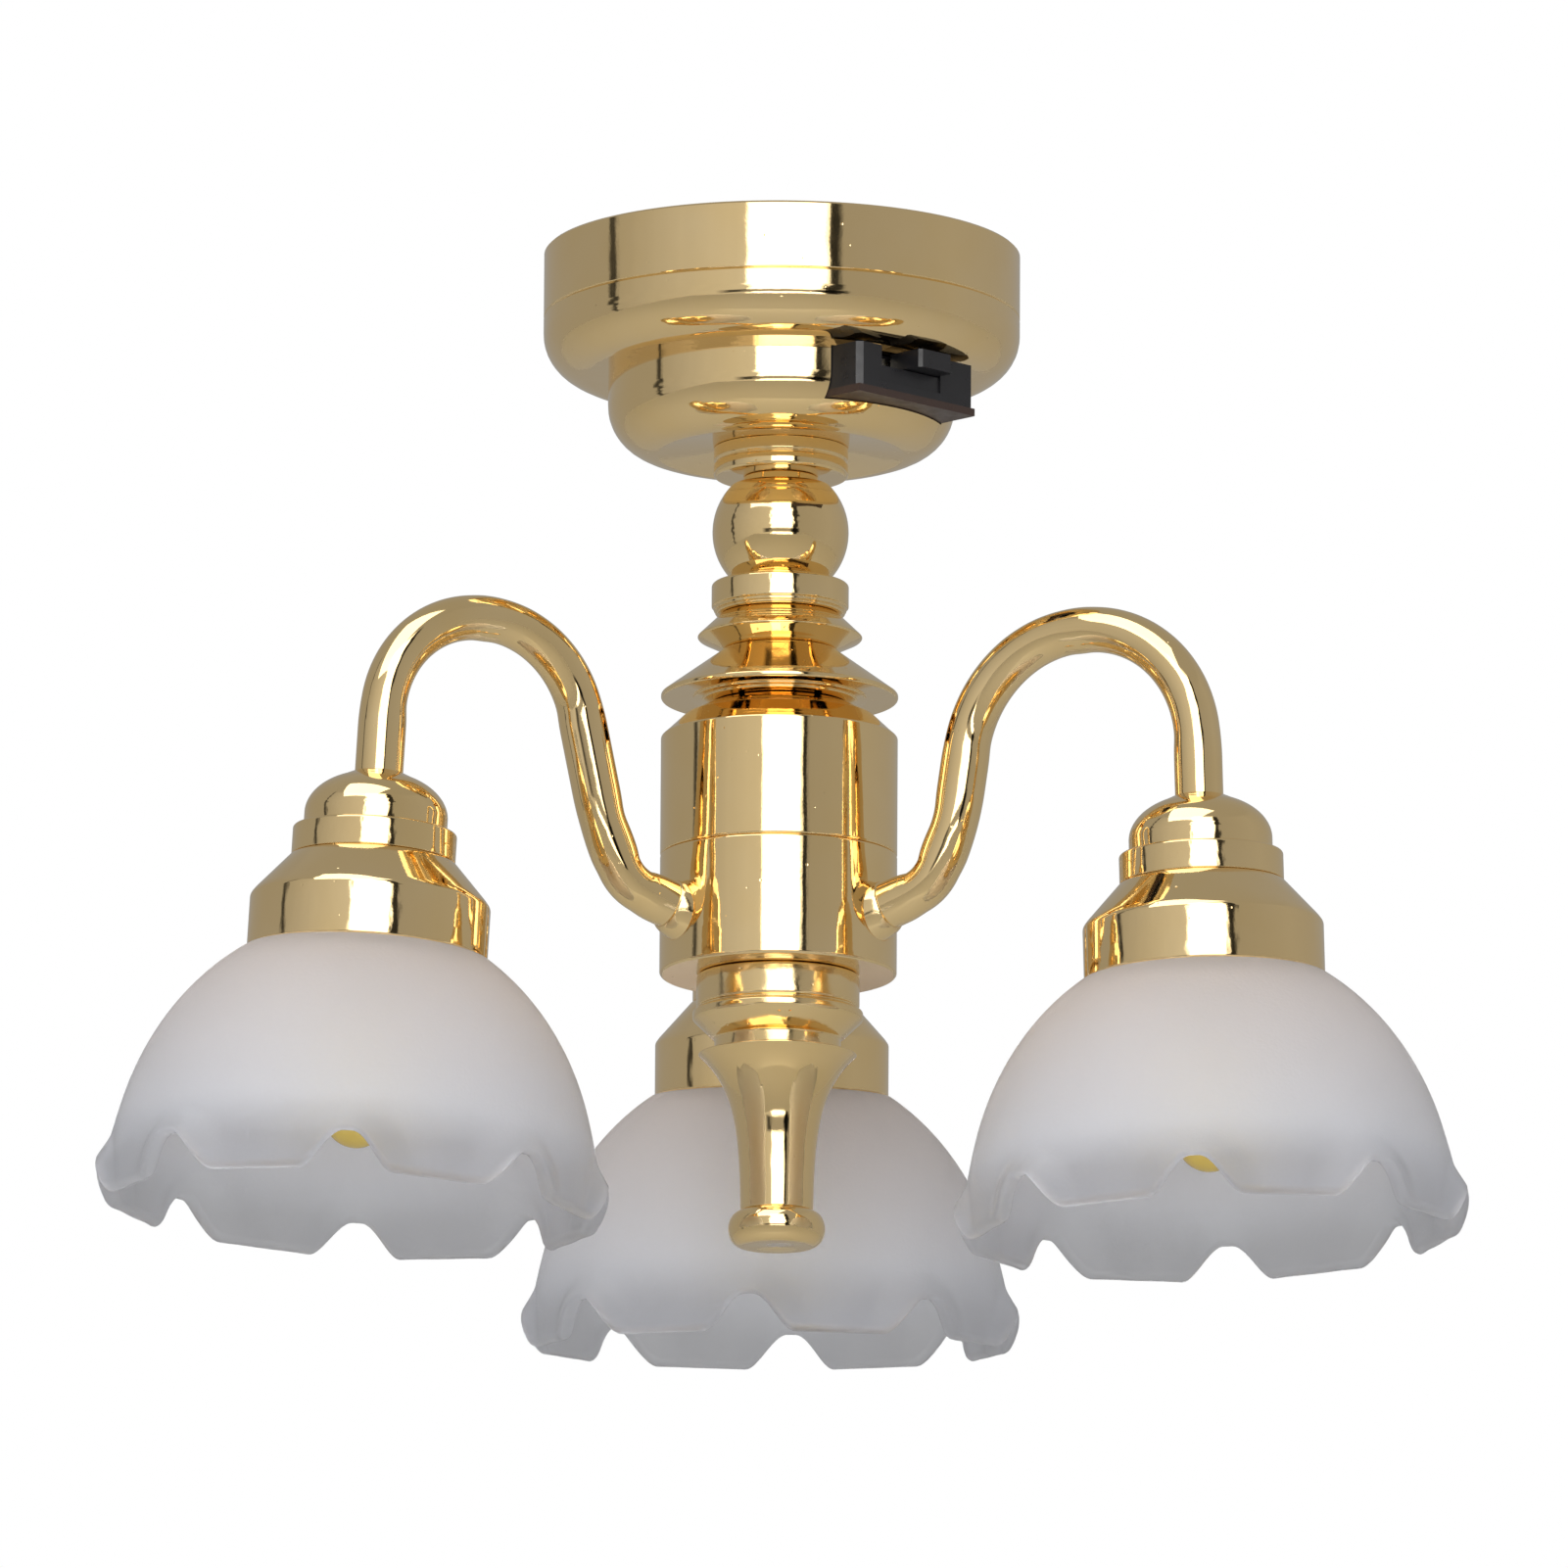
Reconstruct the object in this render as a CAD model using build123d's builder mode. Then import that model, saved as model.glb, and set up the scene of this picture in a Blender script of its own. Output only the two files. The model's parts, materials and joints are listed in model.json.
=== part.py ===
"""Three-arm battery ceiling light for a one-twelfth scale dolls' house.

Millimetres, +Z up. The origin is the centre of the face that sticks to the ceiling,
so the whole light hangs below Z = 0. The three arms stand at about 120 degrees,
with the rear arm at +Y and the switch towards +X, -Y.
"""

import os
from math import acos, cos, radians, sin, sqrt, tan

from build123d import *

os.makedirs("parts", exist_ok=True)

# ---------------------------------------------------------------- driving dimensions
# fits
glue_gap = 0.02          # radial room in a soldered, glued or threaded joint
sliding_gap = 0.05       # radial room in a fit that comes apart by hand

edge_break = 0.1         # small chamfer on turned edges

# battery
cell_radius = 8.0
cell_thickness = 3.2
cell_edge = 0.25
cell_rim_width = 0.9
cell_step = 0.35
pocket_gap = 0.15
cell_headroom = 0.58     # between the cell and the inside of the cap
tray_floor = 0.45
tray_wall = 1.25
tray_gap = 0.1
tray_lip_drop = 1.05     # the tray's wall ends this far below the cell's top

# canopy
pad_radius = 8.0
pad_thickness = 0.5
canopy_wall = 0.8
wide_floor = 0.85
narrow_floor = 0.9
spigot_height = 2.0
spigot_wall = 0.65
seam_chamfer = 0.07
cap_height = 3.13
canopy_radius = (cell_radius + pocket_gap + tray_wall + tray_gap
                 + spigot_wall + sliding_gap + canopy_wall)
wide_tier_height = (canopy_wall + cell_headroom + cell_thickness + tray_floor
                    + wide_floor - cap_height)
wide_tier_round = 2.0
narrow_tier_radius = 8.0
narrow_tier_height = 3.65
narrow_tier_round = 2.3
underside_dish = 0.3

# board and contacts
board_thickness = 0.6
board_gap = 0.3          # between the board's edge and the narrow tier's wall
board_clearance = 0.15   # between the board and the tray
contact_thickness = 0.15
contact_leg_radius = 0.3
contact_leg_offset = 1.2
minus_contact_radius = 2.0
plus_azimuth = 200.0
plus_contact_width = 2.5
plus_contact_thickness = 0.3
plus_contact_gap = 0.05
plus_contact_drop = 0.4  # the contact ends this far below the cell's top
plus_slot_depth = 0.5
plus_foot_width = 1.2
plus_foot_reach = 5.8    # inner end of the foot, from the stem axis

# slide switch
switch_azimuth = 314.8
switch_proud = 0.85      # flat front of the case beyond the narrow tier's wall
switch_width = 7.5
switch_depth = 3.5
switch_case_height = 2.0
switch_case_drop = 0.2   # case below the underside of the wide tier
switch_case_edge = 0.25
switch_base_thickness = 0.35
knob_width = 2.1
knob_height = 0.85
knob_reach = 0.85        # how far the knob stands out of the case
knob_edge = 0.15
knob_travel = 1.6
knob_rest_offset = 0.4   # knob centre from the middle of the case, at the "on" end
knob_side_gap = 0.06
slot_depth = 1.5
notch_depth = 0.35       # border round the panel in the case's front
panel_depth = 0.1
wiper_depth = 0.2
wiper_gap = 0.2
pin_radius = 0.2
pin_spacing = 2.0
pin_depth = 2.8          # behind the case's front
pin_end_drop = 0.05      # below the board's top

# stem
tube_radius = 1.2
tube_bore = 0.75
tube_end = 0.3           # tube beyond each nut
nut_across_flats = 4.2
nut_thickness = 1.1
collar_radius = 3.1
collar_height = 1.35
collar_groove = 0.12
neck_radius = 1.72
neck_height = 0.42
ball_radius = 3.14
ball_crown_radius = 2.27
ball_foot_radius = 2.2
ball_foot_height = 0.2
ring_radius = 3.16
ring_height = 1.15
ring_step_height = 0.3
small_saucer_radius = 3.8
small_saucer_height = 1.7
small_saucer_neck = 2.71
small_saucer_foot = 2.55
small_saucer_edge_height = 0.7
large_saucer_radius = 5.46
large_saucer_height = 2.5
large_saucer_neck = 2.65
large_saucer_groove = 4.0
large_saucer_rise = 0.2  # of the rim above the foot
saucer_edge = 0.24

# barrel and hub
barrel_radius = 5.45
barrel_wall = 1.0
barrel_shoulder = 1.6
barrel_throat = 3.1
barrel_height = 5.55
hub_height = 5.6
hub_wall = 1.85
hub_floor = 1.0
hub_spigot_height = 1.3

# finial
finial_neck_radius = 3.75
finial_band_height = 1.1
finial_lip_radius = 3.92
finial_lip_height = 0.55
finial_waist_radius = 2.9
finial_waist_height = 0.5
finial_neck_height = 3.6
finial_radius = 3.65
finial_height = 7.4
finial_stem_radius = 1.68
tip_radius = 2.23
tip_height = 1.65
tip_flat = 0.25          # the tip's flat end is this much narrower than its widest place
tip_spigot_radius = 0.8
tip_spigot_height = 1.2
stud_radius = 1.0
stud_length = 7.2
stud_end_gap = 0.1

# arms
arm_radius = 1.1
arm_bore = 0.65
arm_entry = 3.3          # height of the arm's entry above the underside of the hub
arm_poke = 0.15          # arm beyond the hub's wall, inside
first_bend_out = 2.65    # from the hub's wall
first_bend_rise = 0.15
first_run_slope = 0.31   # rise over run of the arm where it leaves the hub
first_bend_radius = 2.2
second_bend_radius = 6.0
second_bend_out = 3.95
second_bend_rise = 3.0
arm_tip_depth = 1.5      # how far the arm runs down into its domed cap
ferrule_wall = 0.35
ferrule_length = 0.45
# Each arm was bent by hand. name: (azimuth, reach of the inner leg where it meets the
# top, reach of the tip, rise of the top, rise of the tip, outward lean of the outer leg,
# sideways roll of the whole arm). Reaches are from the hub's wall, rises from the arm's
# entry into the hub, angles in degrees.
arm_shapes = {
    "left": (210.0, 6.15, 15.65, 11.65, 3.6, 2.7, -1.6),
    "right": (330.0, 5.35, 16.65, 11.25, 2.65, 1.5, 0.9),
    "rear": (90.7, 5.85, 16.05, 11.65, 3.55, 5.5, 0.0),
}

# shade holders
dome_radius = 3.27
dome_height = 2.4
holder_ring_radius = 3.74
holder_ring_height = 1.35
holder_ring_wall = 1.0
cup_radius = 5.48
cup_cone_height = 1.9
cup_height = 2.6
cup_wall = 0.5
cup_spigot_height = 0.6
cup_spigot_wall = 0.4

# shades
shade_radius = 11.1
shade_wall = 0.8
shade_height = 11.9
shade_skirt = 0.9        # straight part above the rim
shade_neck_height = 1.9
shoulder_overhang = 0.18 # the shade's shoulder is this much wider than the cup
crimp_count = 8
crimp_opening_radius = 1.6
crimp_wall = 1.1
crimp_centre_drop = 0.3
crimp_reach = 1.05       # ridge beyond the shade's wall at its top
crimp_foot_reach = 0.45  # and at the rim
crimp_turns = {"left": 0.0, "right": -5.0, "rear": -5.0}

# lamps
led_radius = 1.5
led_flange_radius = 1.75
led_flange_height = 0.8
led_length = 5.3
led_tip_drop = 17.1      # LED tip below the arm's tip, along the arm
sleeve_gap = 0.05
wire_radius = 0.35
wire_tail = 0.6          # wires beyond the arm's end, inside the hub
wire_lead_bend = 1.5
splice_radius = 1.25
splice_height = 1.8
splice_rise = 0.45

# ---------------------------------------------------------------- heights, top down
cap_top = -pad_thickness
parting = cap_top - cap_height
wide_bottom = parting - wide_tier_height
narrow_bottom = wide_bottom - narrow_tier_height
collar_top = narrow_bottom + underside_dish
neck_top = collar_top - collar_height
ball_top = neck_top - neck_height
ball_centre = ball_top - sqrt(ball_radius**2 - ball_crown_radius**2)
ball_bottom = ball_centre - sqrt(ball_radius**2 - ball_foot_radius**2)
ring_top = ball_bottom - ball_foot_height
ring_bottom = ring_top - ring_height - ring_step_height
small_saucer_bottom = ring_bottom - small_saucer_height
large_saucer_bottom = small_saucer_bottom - large_saucer_height
barrel_top = large_saucer_bottom - barrel_shoulder
hub_top = barrel_top - barrel_height
hub_bottom = hub_top - hub_height
finial_top = hub_bottom - finial_neck_height
tip_top = finial_top - finial_height
tip_bottom = tip_top - tip_height

# ---------------------------------------------------------------- sizes that follow
tray_radius = cell_radius + pocket_gap + tray_wall
spigot_bore = tray_radius + tray_gap
spigot_radius = spigot_bore + spigot_wall
narrow_bore = narrow_tier_radius - canopy_wall
tray_bottom = wide_bottom + wide_floor
narrow_floor_top = narrow_bottom + narrow_floor
cell_bottom = tray_bottom + tray_floor
tray_height = tray_floor + cell_thickness - tray_lip_drop
board_radius = narrow_bore - board_gap
board_top = tray_bottom - board_clearance
board_bottom = board_top - board_thickness
bore = tube_radius + glue_gap
barrel_bore = barrel_radius - barrel_wall
hub_bore = barrel_radius - hub_wall
hub_floor_top = hub_bottom + hub_floor
entry_height = hub_bottom + arm_entry
arm_inner_reach = hub_bore - arm_poke
ferrule_radius = arm_radius + ferrule_wall
sleeve_radius = arm_radius - sleeve_gap


def save(piece, name):
    """Label a finished piece and write its STEP file."""
    piece.part.label = name
    export_step(piece.part, f"parts/{name}.step")


def turned(outline, plane=Plane.XZ):
    """A lathe-turned piece: a closed outline of (radius, height) turned about the plane's Y axis."""
    with BuildPart() as piece:
        with BuildSketch(plane):
            with BuildLine():
                Polyline(*outline, close=True)
            make_face()
        revolve(axis=Axis(plane.origin, plane.y_dir))
    return piece


# ---------------------------------------------------------------- ceiling mount
with BuildPart() as adhesive_pad:
    with BuildSketch(Plane.XY.offset(cap_top)):
        Circle(pad_radius)
    extrude(amount=pad_thickness)
save(adhesive_pad, "adhesive_pad")

ceiling_cap = turned([
    (0, cap_top),
    (canopy_radius - edge_break, cap_top),
    (canopy_radius, cap_top - edge_break),
    (canopy_radius, parting + seam_chamfer),
    (canopy_radius - seam_chamfer, parting),
    (canopy_radius - canopy_wall, parting),
    (canopy_radius - canopy_wall, cap_top - canopy_wall),
    (0, cap_top - canopy_wall),
])
save(ceiling_cap, "ceiling_cap")

# ---------------------------------------------------------------- slide switch places
# The switch stands on a plane of its own: X along the case, Y up, Z outwards.
outward = Vector(cos(radians(switch_azimuth)), sin(radians(switch_azimuth)), 0)
along = Vector(-outward.Y, outward.X, 0)
case_top = wide_bottom - switch_case_drop
case_bottom = case_top - switch_case_height
case_middle = (case_top + case_bottom) / 2
base_bottom = case_bottom - switch_base_thickness
switch_front = narrow_tier_radius + switch_proud
front_plane = Plane(
    origin=outward * switch_front + Vector(0, 0, case_middle), x_dir=along, z_dir=outward)

# ---------------------------------------------------------------- canopy body
with BuildPart() as canopy_body:
    with BuildSketch(Plane.XZ):
        with BuildLine():
            # outside, from the parting line down to the stem hole
            Polyline(
                (spigot_radius, parting),
                (canopy_radius - seam_chamfer, parting),
                (canopy_radius, parting - seam_chamfer),
                (canopy_radius, wide_bottom + wide_tier_round))
            RadiusArc(
                (canopy_radius, wide_bottom + wide_tier_round),
                (canopy_radius - wide_tier_round, wide_bottom),
                wide_tier_round)
            Polyline(
                (canopy_radius - wide_tier_round, wide_bottom),
                (narrow_tier_radius, wide_bottom),
                (narrow_tier_radius, narrow_bottom + narrow_tier_round))
            RadiusArc(
                (narrow_tier_radius, narrow_bottom + narrow_tier_round),
                (narrow_tier_radius - narrow_tier_round, narrow_bottom),
                narrow_tier_round)
            # underside, stem hole, inside floor
            inner_round = narrow_tier_round - canopy_wall
            Polyline(
                (narrow_tier_radius - narrow_tier_round, narrow_bottom),
                (collar_radius, collar_top),
                (bore, collar_top),
                (bore, narrow_floor_top),
                (narrow_bore - inner_round, narrow_floor_top))
            RadiusArc(
                (narrow_bore - inner_round, narrow_floor_top),
                (narrow_bore, narrow_floor_top + inner_round),
                -inner_round)
            Polyline(
                (narrow_bore, narrow_floor_top + inner_round),
                (narrow_bore, tray_bottom),
                (spigot_bore, tray_bottom),
                (spigot_bore, parting + spigot_height),
                (spigot_radius, parting + spigot_height),
                (spigot_radius, parting))
        make_face()
    revolve(axis=Axis.Z)
    # window for the switch
    with BuildSketch(front_plane.offset(-switch_depth - sliding_gap)):
        with Locations((0, (case_top + base_bottom) / 2 - case_middle)):
            Rectangle(switch_width + 2 * sliding_gap, case_top - base_bottom + 2 * sliding_gap)
    extrude(amount=switch_depth + canopy_wall, mode=Mode.SUBTRACT)
save(canopy_body, "canopy_body")

# ---------------------------------------------------------------- battery and contacts
pocket_radius = cell_radius + pocket_gap
plus_contact_reach = cell_radius + plus_contact_gap + plus_contact_thickness / 2
plus_centre = Vector(cos(radians(plus_azimuth)), sin(radians(plus_azimuth)), 0)
plus_plane = Plane(origin=(0, 0, cell_bottom), x_dir=plus_centre, z_dir=(0, 0, 1))

with BuildPart() as coin_cell:
    with BuildSketch(Plane.XY.offset(cell_bottom)):
        Circle(cell_radius)
    extrude(amount=cell_thickness)
    with BuildSketch(Plane.XY.offset(cell_bottom)):
        Circle(cell_radius)
        Circle(cell_radius - cell_rim_width, mode=Mode.SUBTRACT)
    extrude(amount=cell_step, mode=Mode.SUBTRACT)
    chamfer(coin_cell.edges().group_by(Axis.Z)[-1], cell_edge)
save(coin_cell, "coin_cell")

with BuildPart() as battery_tray:
    with BuildSketch(Plane.XY.offset(tray_bottom)):
        Circle(tray_radius)
    extrude(amount=tray_height)
    with BuildSketch(Plane.XY.offset(cell_bottom)):
        Circle(pocket_radius)
    extrude(amount=tray_height, mode=Mode.SUBTRACT)
    # seat and leg hole of the negative contact
    with BuildSketch(Plane.XY.offset(cell_bottom - contact_thickness)):
        Circle(minus_contact_radius + sliding_gap)
    extrude(amount=contact_thickness, mode=Mode.SUBTRACT)
    with BuildSketch(Plane.XY.offset(tray_bottom)):
        with Locations((-contact_leg_offset, 0)):
            Circle(contact_leg_radius + sliding_gap)
    extrude(amount=tray_floor, mode=Mode.SUBTRACT)
    # slot of the positive contact in the wall, and of its foot under the floor
    with BuildSketch(plus_plane.offset(-tray_floor)):
        with Locations((plus_contact_reach, 0)):
            Rectangle(plus_slot_depth, plus_contact_width + 2 * sliding_gap)
    extrude(amount=tray_height, mode=Mode.SUBTRACT)
    with BuildSketch(plus_plane.offset(-tray_floor)):
        with Locations(((plus_contact_reach + plus_foot_reach) / 2, 0)):
            Rectangle(
                plus_contact_reach - plus_foot_reach + plus_foot_width,
                plus_foot_width + 2 * sliding_gap)
    extrude(amount=contact_thickness + sliding_gap, mode=Mode.SUBTRACT)
save(battery_tray, "battery_tray")

with BuildPart() as contact_minus:
    with BuildSketch(Plane.XY.offset(cell_bottom - contact_thickness)):
        Circle(minus_contact_radius)
    extrude(amount=contact_thickness)
    with BuildSketch(Plane.XY.offset(board_top)):
        with Locations((-contact_leg_offset, 0)):
            Circle(contact_leg_radius)
    extrude(amount=cell_bottom - contact_thickness - board_top)
save(contact_minus, "contact_minus")

with BuildPart() as contact_plus:
    with BuildSketch(plus_plane.offset(-tray_floor)):
        with Locations((plus_contact_reach, 0)):
            Rectangle(plus_contact_thickness, plus_contact_width)
    extrude(amount=tray_floor + cell_thickness - plus_contact_drop)
    # foot under the tray's floor, and its leg down to the board
    with BuildSketch(plus_plane.offset(-tray_floor)):
        with Locations(((plus_contact_reach + plus_foot_reach) / 2, 0)):
            Rectangle(plus_contact_reach - plus_foot_reach, plus_foot_width)
    extrude(amount=contact_thickness)
    with BuildSketch(plus_plane.offset(board_top - cell_bottom)):
        with Locations((plus_foot_reach + 2 * contact_leg_radius, 0)):
            Circle(contact_leg_radius)
    extrude(amount=tray_bottom - board_top)
save(contact_plus, "contact_plus")

# ---------------------------------------------------------------- slide switch
knob_middle = (switch_case_height - knob_height) / 2
slot_left = knob_rest_offset - knob_travel - knob_width / 2 - knob_side_gap
slot_right = knob_rest_offset + knob_width / 2 + knob_side_gap
slot_middle = (slot_left + slot_right) / 2
slot_width = slot_right - slot_left
slot_height = knob_height + knob_side_gap

with BuildPart() as switch_case:
    with BuildSketch(front_plane):
        Rectangle(switch_width, switch_case_height)
    extrude(amount=-switch_depth)
    chamfer(switch_case.edges().filter_by(Axis.Z).group_by(
        lambda edge: edge.center().dot(outward))[-1], switch_case_edge)
    # slot for the knob, open at the top of the case
    with BuildSketch(front_plane):
        with Locations((slot_middle, (switch_case_height - slot_height) / 2)):
            Rectangle(slot_width, slot_height)
    extrude(amount=-slot_depth, mode=Mode.SUBTRACT)
    # shallow panel in the front, under the slot
    with BuildSketch(front_plane):
        with Locations((slot_middle, 0)):
            Rectangle(slot_width, switch_case_height - 2 * notch_depth)
    extrude(amount=-panel_depth, mode=Mode.SUBTRACT)
save(switch_case, "switch_case")

with BuildPart() as switch_base:
    with BuildSketch(front_plane):
        with Locations((0, (case_bottom + base_bottom) / 2 - case_middle)):
            Rectangle(switch_width, switch_base_thickness)
    extrude(amount=-switch_depth)
save(switch_base, "switch_base")

with BuildPart() as switch_knob:
    with BuildSketch(front_plane.offset(knob_reach)):
        with Locations((knob_rest_offset, knob_middle)):
            Rectangle(knob_width, knob_height)
    extrude(amount=-(knob_reach + slot_depth - wiper_depth - wiper_gap))
    chamfer(switch_knob.edges().filter_by(Axis.Z).group_by(
        lambda edge: edge.center().dot(outward))[-1], knob_edge)
save(switch_knob, "switch_knob")

with BuildPart() as switch_wiper:
    with BuildSketch(front_plane.offset(-slot_depth)):
        with Locations((slot_middle, knob_middle)):
            Rectangle(slot_width - 2 * wiper_gap, knob_height - 2 * wiper_gap)
    extrude(amount=wiper_depth)
save(switch_wiper, "switch_wiper")

pin_rows = [(side * pin_spacing, 0) for side in (-1, 0, 1)]
pin_plane = Plane(
    origin=outward * (switch_front - pin_depth) + Vector(0, 0, case_top), x_dir=along, z_dir=(0, 0, 1))
with BuildPart() as switch_pins:
    with BuildSketch(pin_plane):
        with Locations(*pin_rows):
            Circle(pin_radius)
    extrude(amount=board_top - pin_end_drop - case_top)
save(switch_pins, "switch_pins")

# ---------------------------------------------------------------- circuit board
with BuildPart() as circuit_board:
    with BuildSketch(Plane.XY.offset(board_bottom)):
        Circle(board_radius)
    extrude(amount=board_thickness)
    with BuildSketch(pin_plane.offset(board_bottom - case_top)):
        with Locations(*pin_rows):
            Circle(pin_radius + glue_gap)
    extrude(amount=board_thickness, mode=Mode.SUBTRACT)
save(circuit_board, "circuit_board")

# ---------------------------------------------------------------- stem
upper_nut_top = narrow_floor_top + nut_thickness
lower_nut_top = barrel_top - barrel_wall
tube_top = upper_nut_top + tube_end
tube_bottom = lower_nut_top - nut_thickness - tube_end

with BuildPart() as stem_tube:
    with BuildSketch(Plane.XY.offset(tube_bottom)):
        Circle(tube_radius)
        Circle(tube_bore, mode=Mode.SUBTRACT)
    extrude(amount=tube_top - tube_bottom)
save(stem_tube, "stem_tube")


def hex_nut(bottom):
    """A plain hexagonal nut round the stem tube."""
    with BuildPart() as nut:
        with BuildSketch(Plane.XY.offset(bottom)):
            RegularPolygon(nut_across_flats / 2, 6, major_radius=False)
            Circle(bore, mode=Mode.SUBTRACT)
        extrude(amount=nut_thickness)
    return nut


save(hex_nut(narrow_floor_top), "upper_nut")
save(hex_nut(lower_nut_top - nut_thickness), "lower_nut")

groove_middle = collar_top - collar_height / 2
collar = turned([
    (bore, collar_top),
    (collar_radius, collar_top),
    (collar_radius, groove_middle + collar_groove),
    (collar_radius - collar_groove, groove_middle),
    (collar_radius, groove_middle - collar_groove),
    (collar_radius, neck_top + edge_break),
    (collar_radius - edge_break, neck_top),
    (bore, neck_top),
])
save(collar, "stem_collar")

with BuildPart() as ball_knop:
    with BuildSketch(Plane.XZ):
        with BuildLine():
            Polyline(
                (bore, neck_top),
                (neck_radius, neck_top),
                (neck_radius, ball_top),
                (ball_crown_radius, ball_top))
            ThreePointArc(
                (ball_crown_radius, ball_top),
                (ball_radius, ball_centre),
                (ball_foot_radius, ball_bottom))
            Polyline(
                (ball_foot_radius, ball_bottom),
                (ball_foot_radius, ring_top),
                (bore, ring_top),
                (bore, neck_top))
        make_face()
    revolve(axis=Axis.Z)
save(ball_knop, "ball_knop")

ring_edge = ring_top - ring_height
ring_waist = ring_radius - edge_break
ring_step = ring_radius - 2 * edge_break
ring_collar = turned([
    (bore, ring_top),
    (ring_waist, ring_top),
    (ring_radius, ring_top - edge_break),
    (ring_radius, ring_edge),
    (ring_waist, ring_edge - edge_break / 2),
    (ring_waist, ring_edge - ring_step_height / 2),
    (ring_step, ring_edge - ring_step_height / 2),
    (ring_step, ring_bottom),
    (bore, ring_bottom),
])
save(ring_collar, "ring_collar")

small_edge_top = small_saucer_bottom + small_saucer_edge_height
small_saucer = turned([
    (bore, ring_bottom),
    (small_saucer_neck, ring_bottom),
    (small_saucer_radius - edge_break / 2, small_edge_top),
    (small_saucer_radius, small_edge_top - edge_break / 2),
    (small_saucer_radius - edge_break / 2, small_edge_top - 1.5 * edge_break),
    (small_saucer_foot, small_saucer_bottom),
    (bore, small_saucer_bottom),
])
save(small_saucer, "small_saucer")

large_edge_bottom = large_saucer_bottom + large_saucer_rise
large_saucer = turned([
    (bore, small_saucer_bottom),
    (large_saucer_neck, small_saucer_bottom),
    (large_saucer_radius - edge_break, large_edge_bottom + saucer_edge + edge_break / 2),
    (large_saucer_radius, large_edge_bottom + saucer_edge),
    (large_saucer_radius, large_edge_bottom + edge_break / 2),
    (large_saucer_radius - edge_break / 2, large_edge_bottom),
    (large_saucer_groove, large_edge_bottom + edge_break),
    (large_saucer_groove, large_edge_bottom),
    (barrel_throat + 5 * edge_break, large_edge_bottom),
    (barrel_throat + 5 * edge_break, large_edge_bottom - edge_break),
    (barrel_throat, large_saucer_bottom),
    (bore, large_saucer_bottom),
])
save(large_saucer, "large_saucer")

# ---------------------------------------------------------------- barrel and hub
upper_barrel = turned([
    (bore, large_saucer_bottom),
    (barrel_throat, large_saucer_bottom),
    (barrel_radius - 0.66 * barrel_shoulder, large_saucer_bottom - 0.4 * barrel_shoulder),
    (barrel_radius - 0.16 * barrel_shoulder, large_saucer_bottom - 0.87 * barrel_shoulder),
    (barrel_radius, barrel_top),
    (barrel_radius, hub_top + seam_chamfer),
    (barrel_radius - seam_chamfer, hub_top),
    (barrel_bore, hub_top),
    (barrel_bore, lower_nut_top),
    (bore, lower_nut_top),
])
save(upper_barrel, "upper_barrel")


def arm_plane(name):
    """Plane of an arm, from the stem axis at the arm's entry: X outwards, Y up, rolled about X."""
    azimuth = radians(arm_shapes[name][0])
    roll = radians(arm_shapes[name][6])
    reach = Vector(cos(azimuth), sin(azimuth), 0)
    upright = Vector(0, 0, 1)
    up = upright * cos(roll) + reach.cross(upright) * sin(roll)
    return Plane(origin=(0, 0, entry_height), x_dir=reach, z_dir=reach.cross(up))


def arm_corners(name, start_reach, end_depth):
    """Corners of an arm's centre line in its plane, from inside the hub to below its tip."""
    inner_out, tip_out, apex_rise, tip_rise, lean = arm_shapes[name][1:6]
    tip_reach = barrel_radius + tip_out
    slant = tan(radians(lean))
    end_drop = end_depth * cos(radians(lean))
    first = (barrel_radius + first_bend_out, first_bend_rise)
    return [
        (start_reach, first[1] - (first[0] - start_reach) * first_run_slope),
        first,
        (barrel_radius + second_bend_out, second_bend_rise),
        (barrel_radius + inner_out, apex_rise),
        (tip_reach - (apex_rise - tip_rise) * slant, apex_rise),
        (tip_reach + end_drop * slant, tip_rise - end_drop),
    ]


def arch_radius(corners):
    """The largest radius that both top corners of an arm's arch can share."""
    inner_leg, arch_start, arch_end, tip = [Vector(*corner) for corner in corners[2:6]]
    inner_turn = (arch_start - inner_leg).get_angle(arch_end - arch_start)
    outer_turn = (arch_end - arch_start).get_angle(tip - arch_end)
    half_turns = tan(radians(inner_turn / 2)) + tan(radians(outer_turn / 2))
    return 0.97 * (arch_end - arch_start).length / half_turns


def entry_plane(name):
    """Plane where an arm crosses the hub's wall: Y points out along the arm."""
    bend_plane = arm_plane(name)
    start, first = [bend_plane.from_local_coords(Vector(*corner))
                    for corner in arm_corners(name, barrel_radius, 0)[:2]]
    return Plane(origin=start, x_dir=bend_plane.z_dir, z_dir=bend_plane.z_dir.cross(first - start))


arm_names = list(arm_shapes)

with BuildPart() as hub:
    with BuildSketch(Plane.XZ):
        with BuildLine():
            Polyline(
                (hub_bore, hub_top + hub_spigot_height),
                (barrel_bore - glue_gap, hub_top + hub_spigot_height),
                (barrel_bore - glue_gap, hub_top),
                (barrel_radius - seam_chamfer, hub_top),
                (barrel_radius, hub_top - seam_chamfer),
                (barrel_radius, hub_bottom + edge_break),
                (barrel_radius - edge_break, hub_bottom),
                (stud_radius + glue_gap, hub_bottom),
                (stud_radius + glue_gap, hub_floor_top),
                (hub_bore, hub_floor_top),
                close=True)
        make_face()
    revolve(axis=Axis.Z)
    # holes for the arms
    for arm_name in arm_names:
        hole_plane = entry_plane(arm_name)
        with BuildSketch(Plane(origin=hole_plane.origin, z_dir=hole_plane.y_dir)):
            Circle(arm_radius + glue_gap)
        extrude(amount=1.4 * hub_wall, both=True, mode=Mode.SUBTRACT)
save(hub, "hub")

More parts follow.
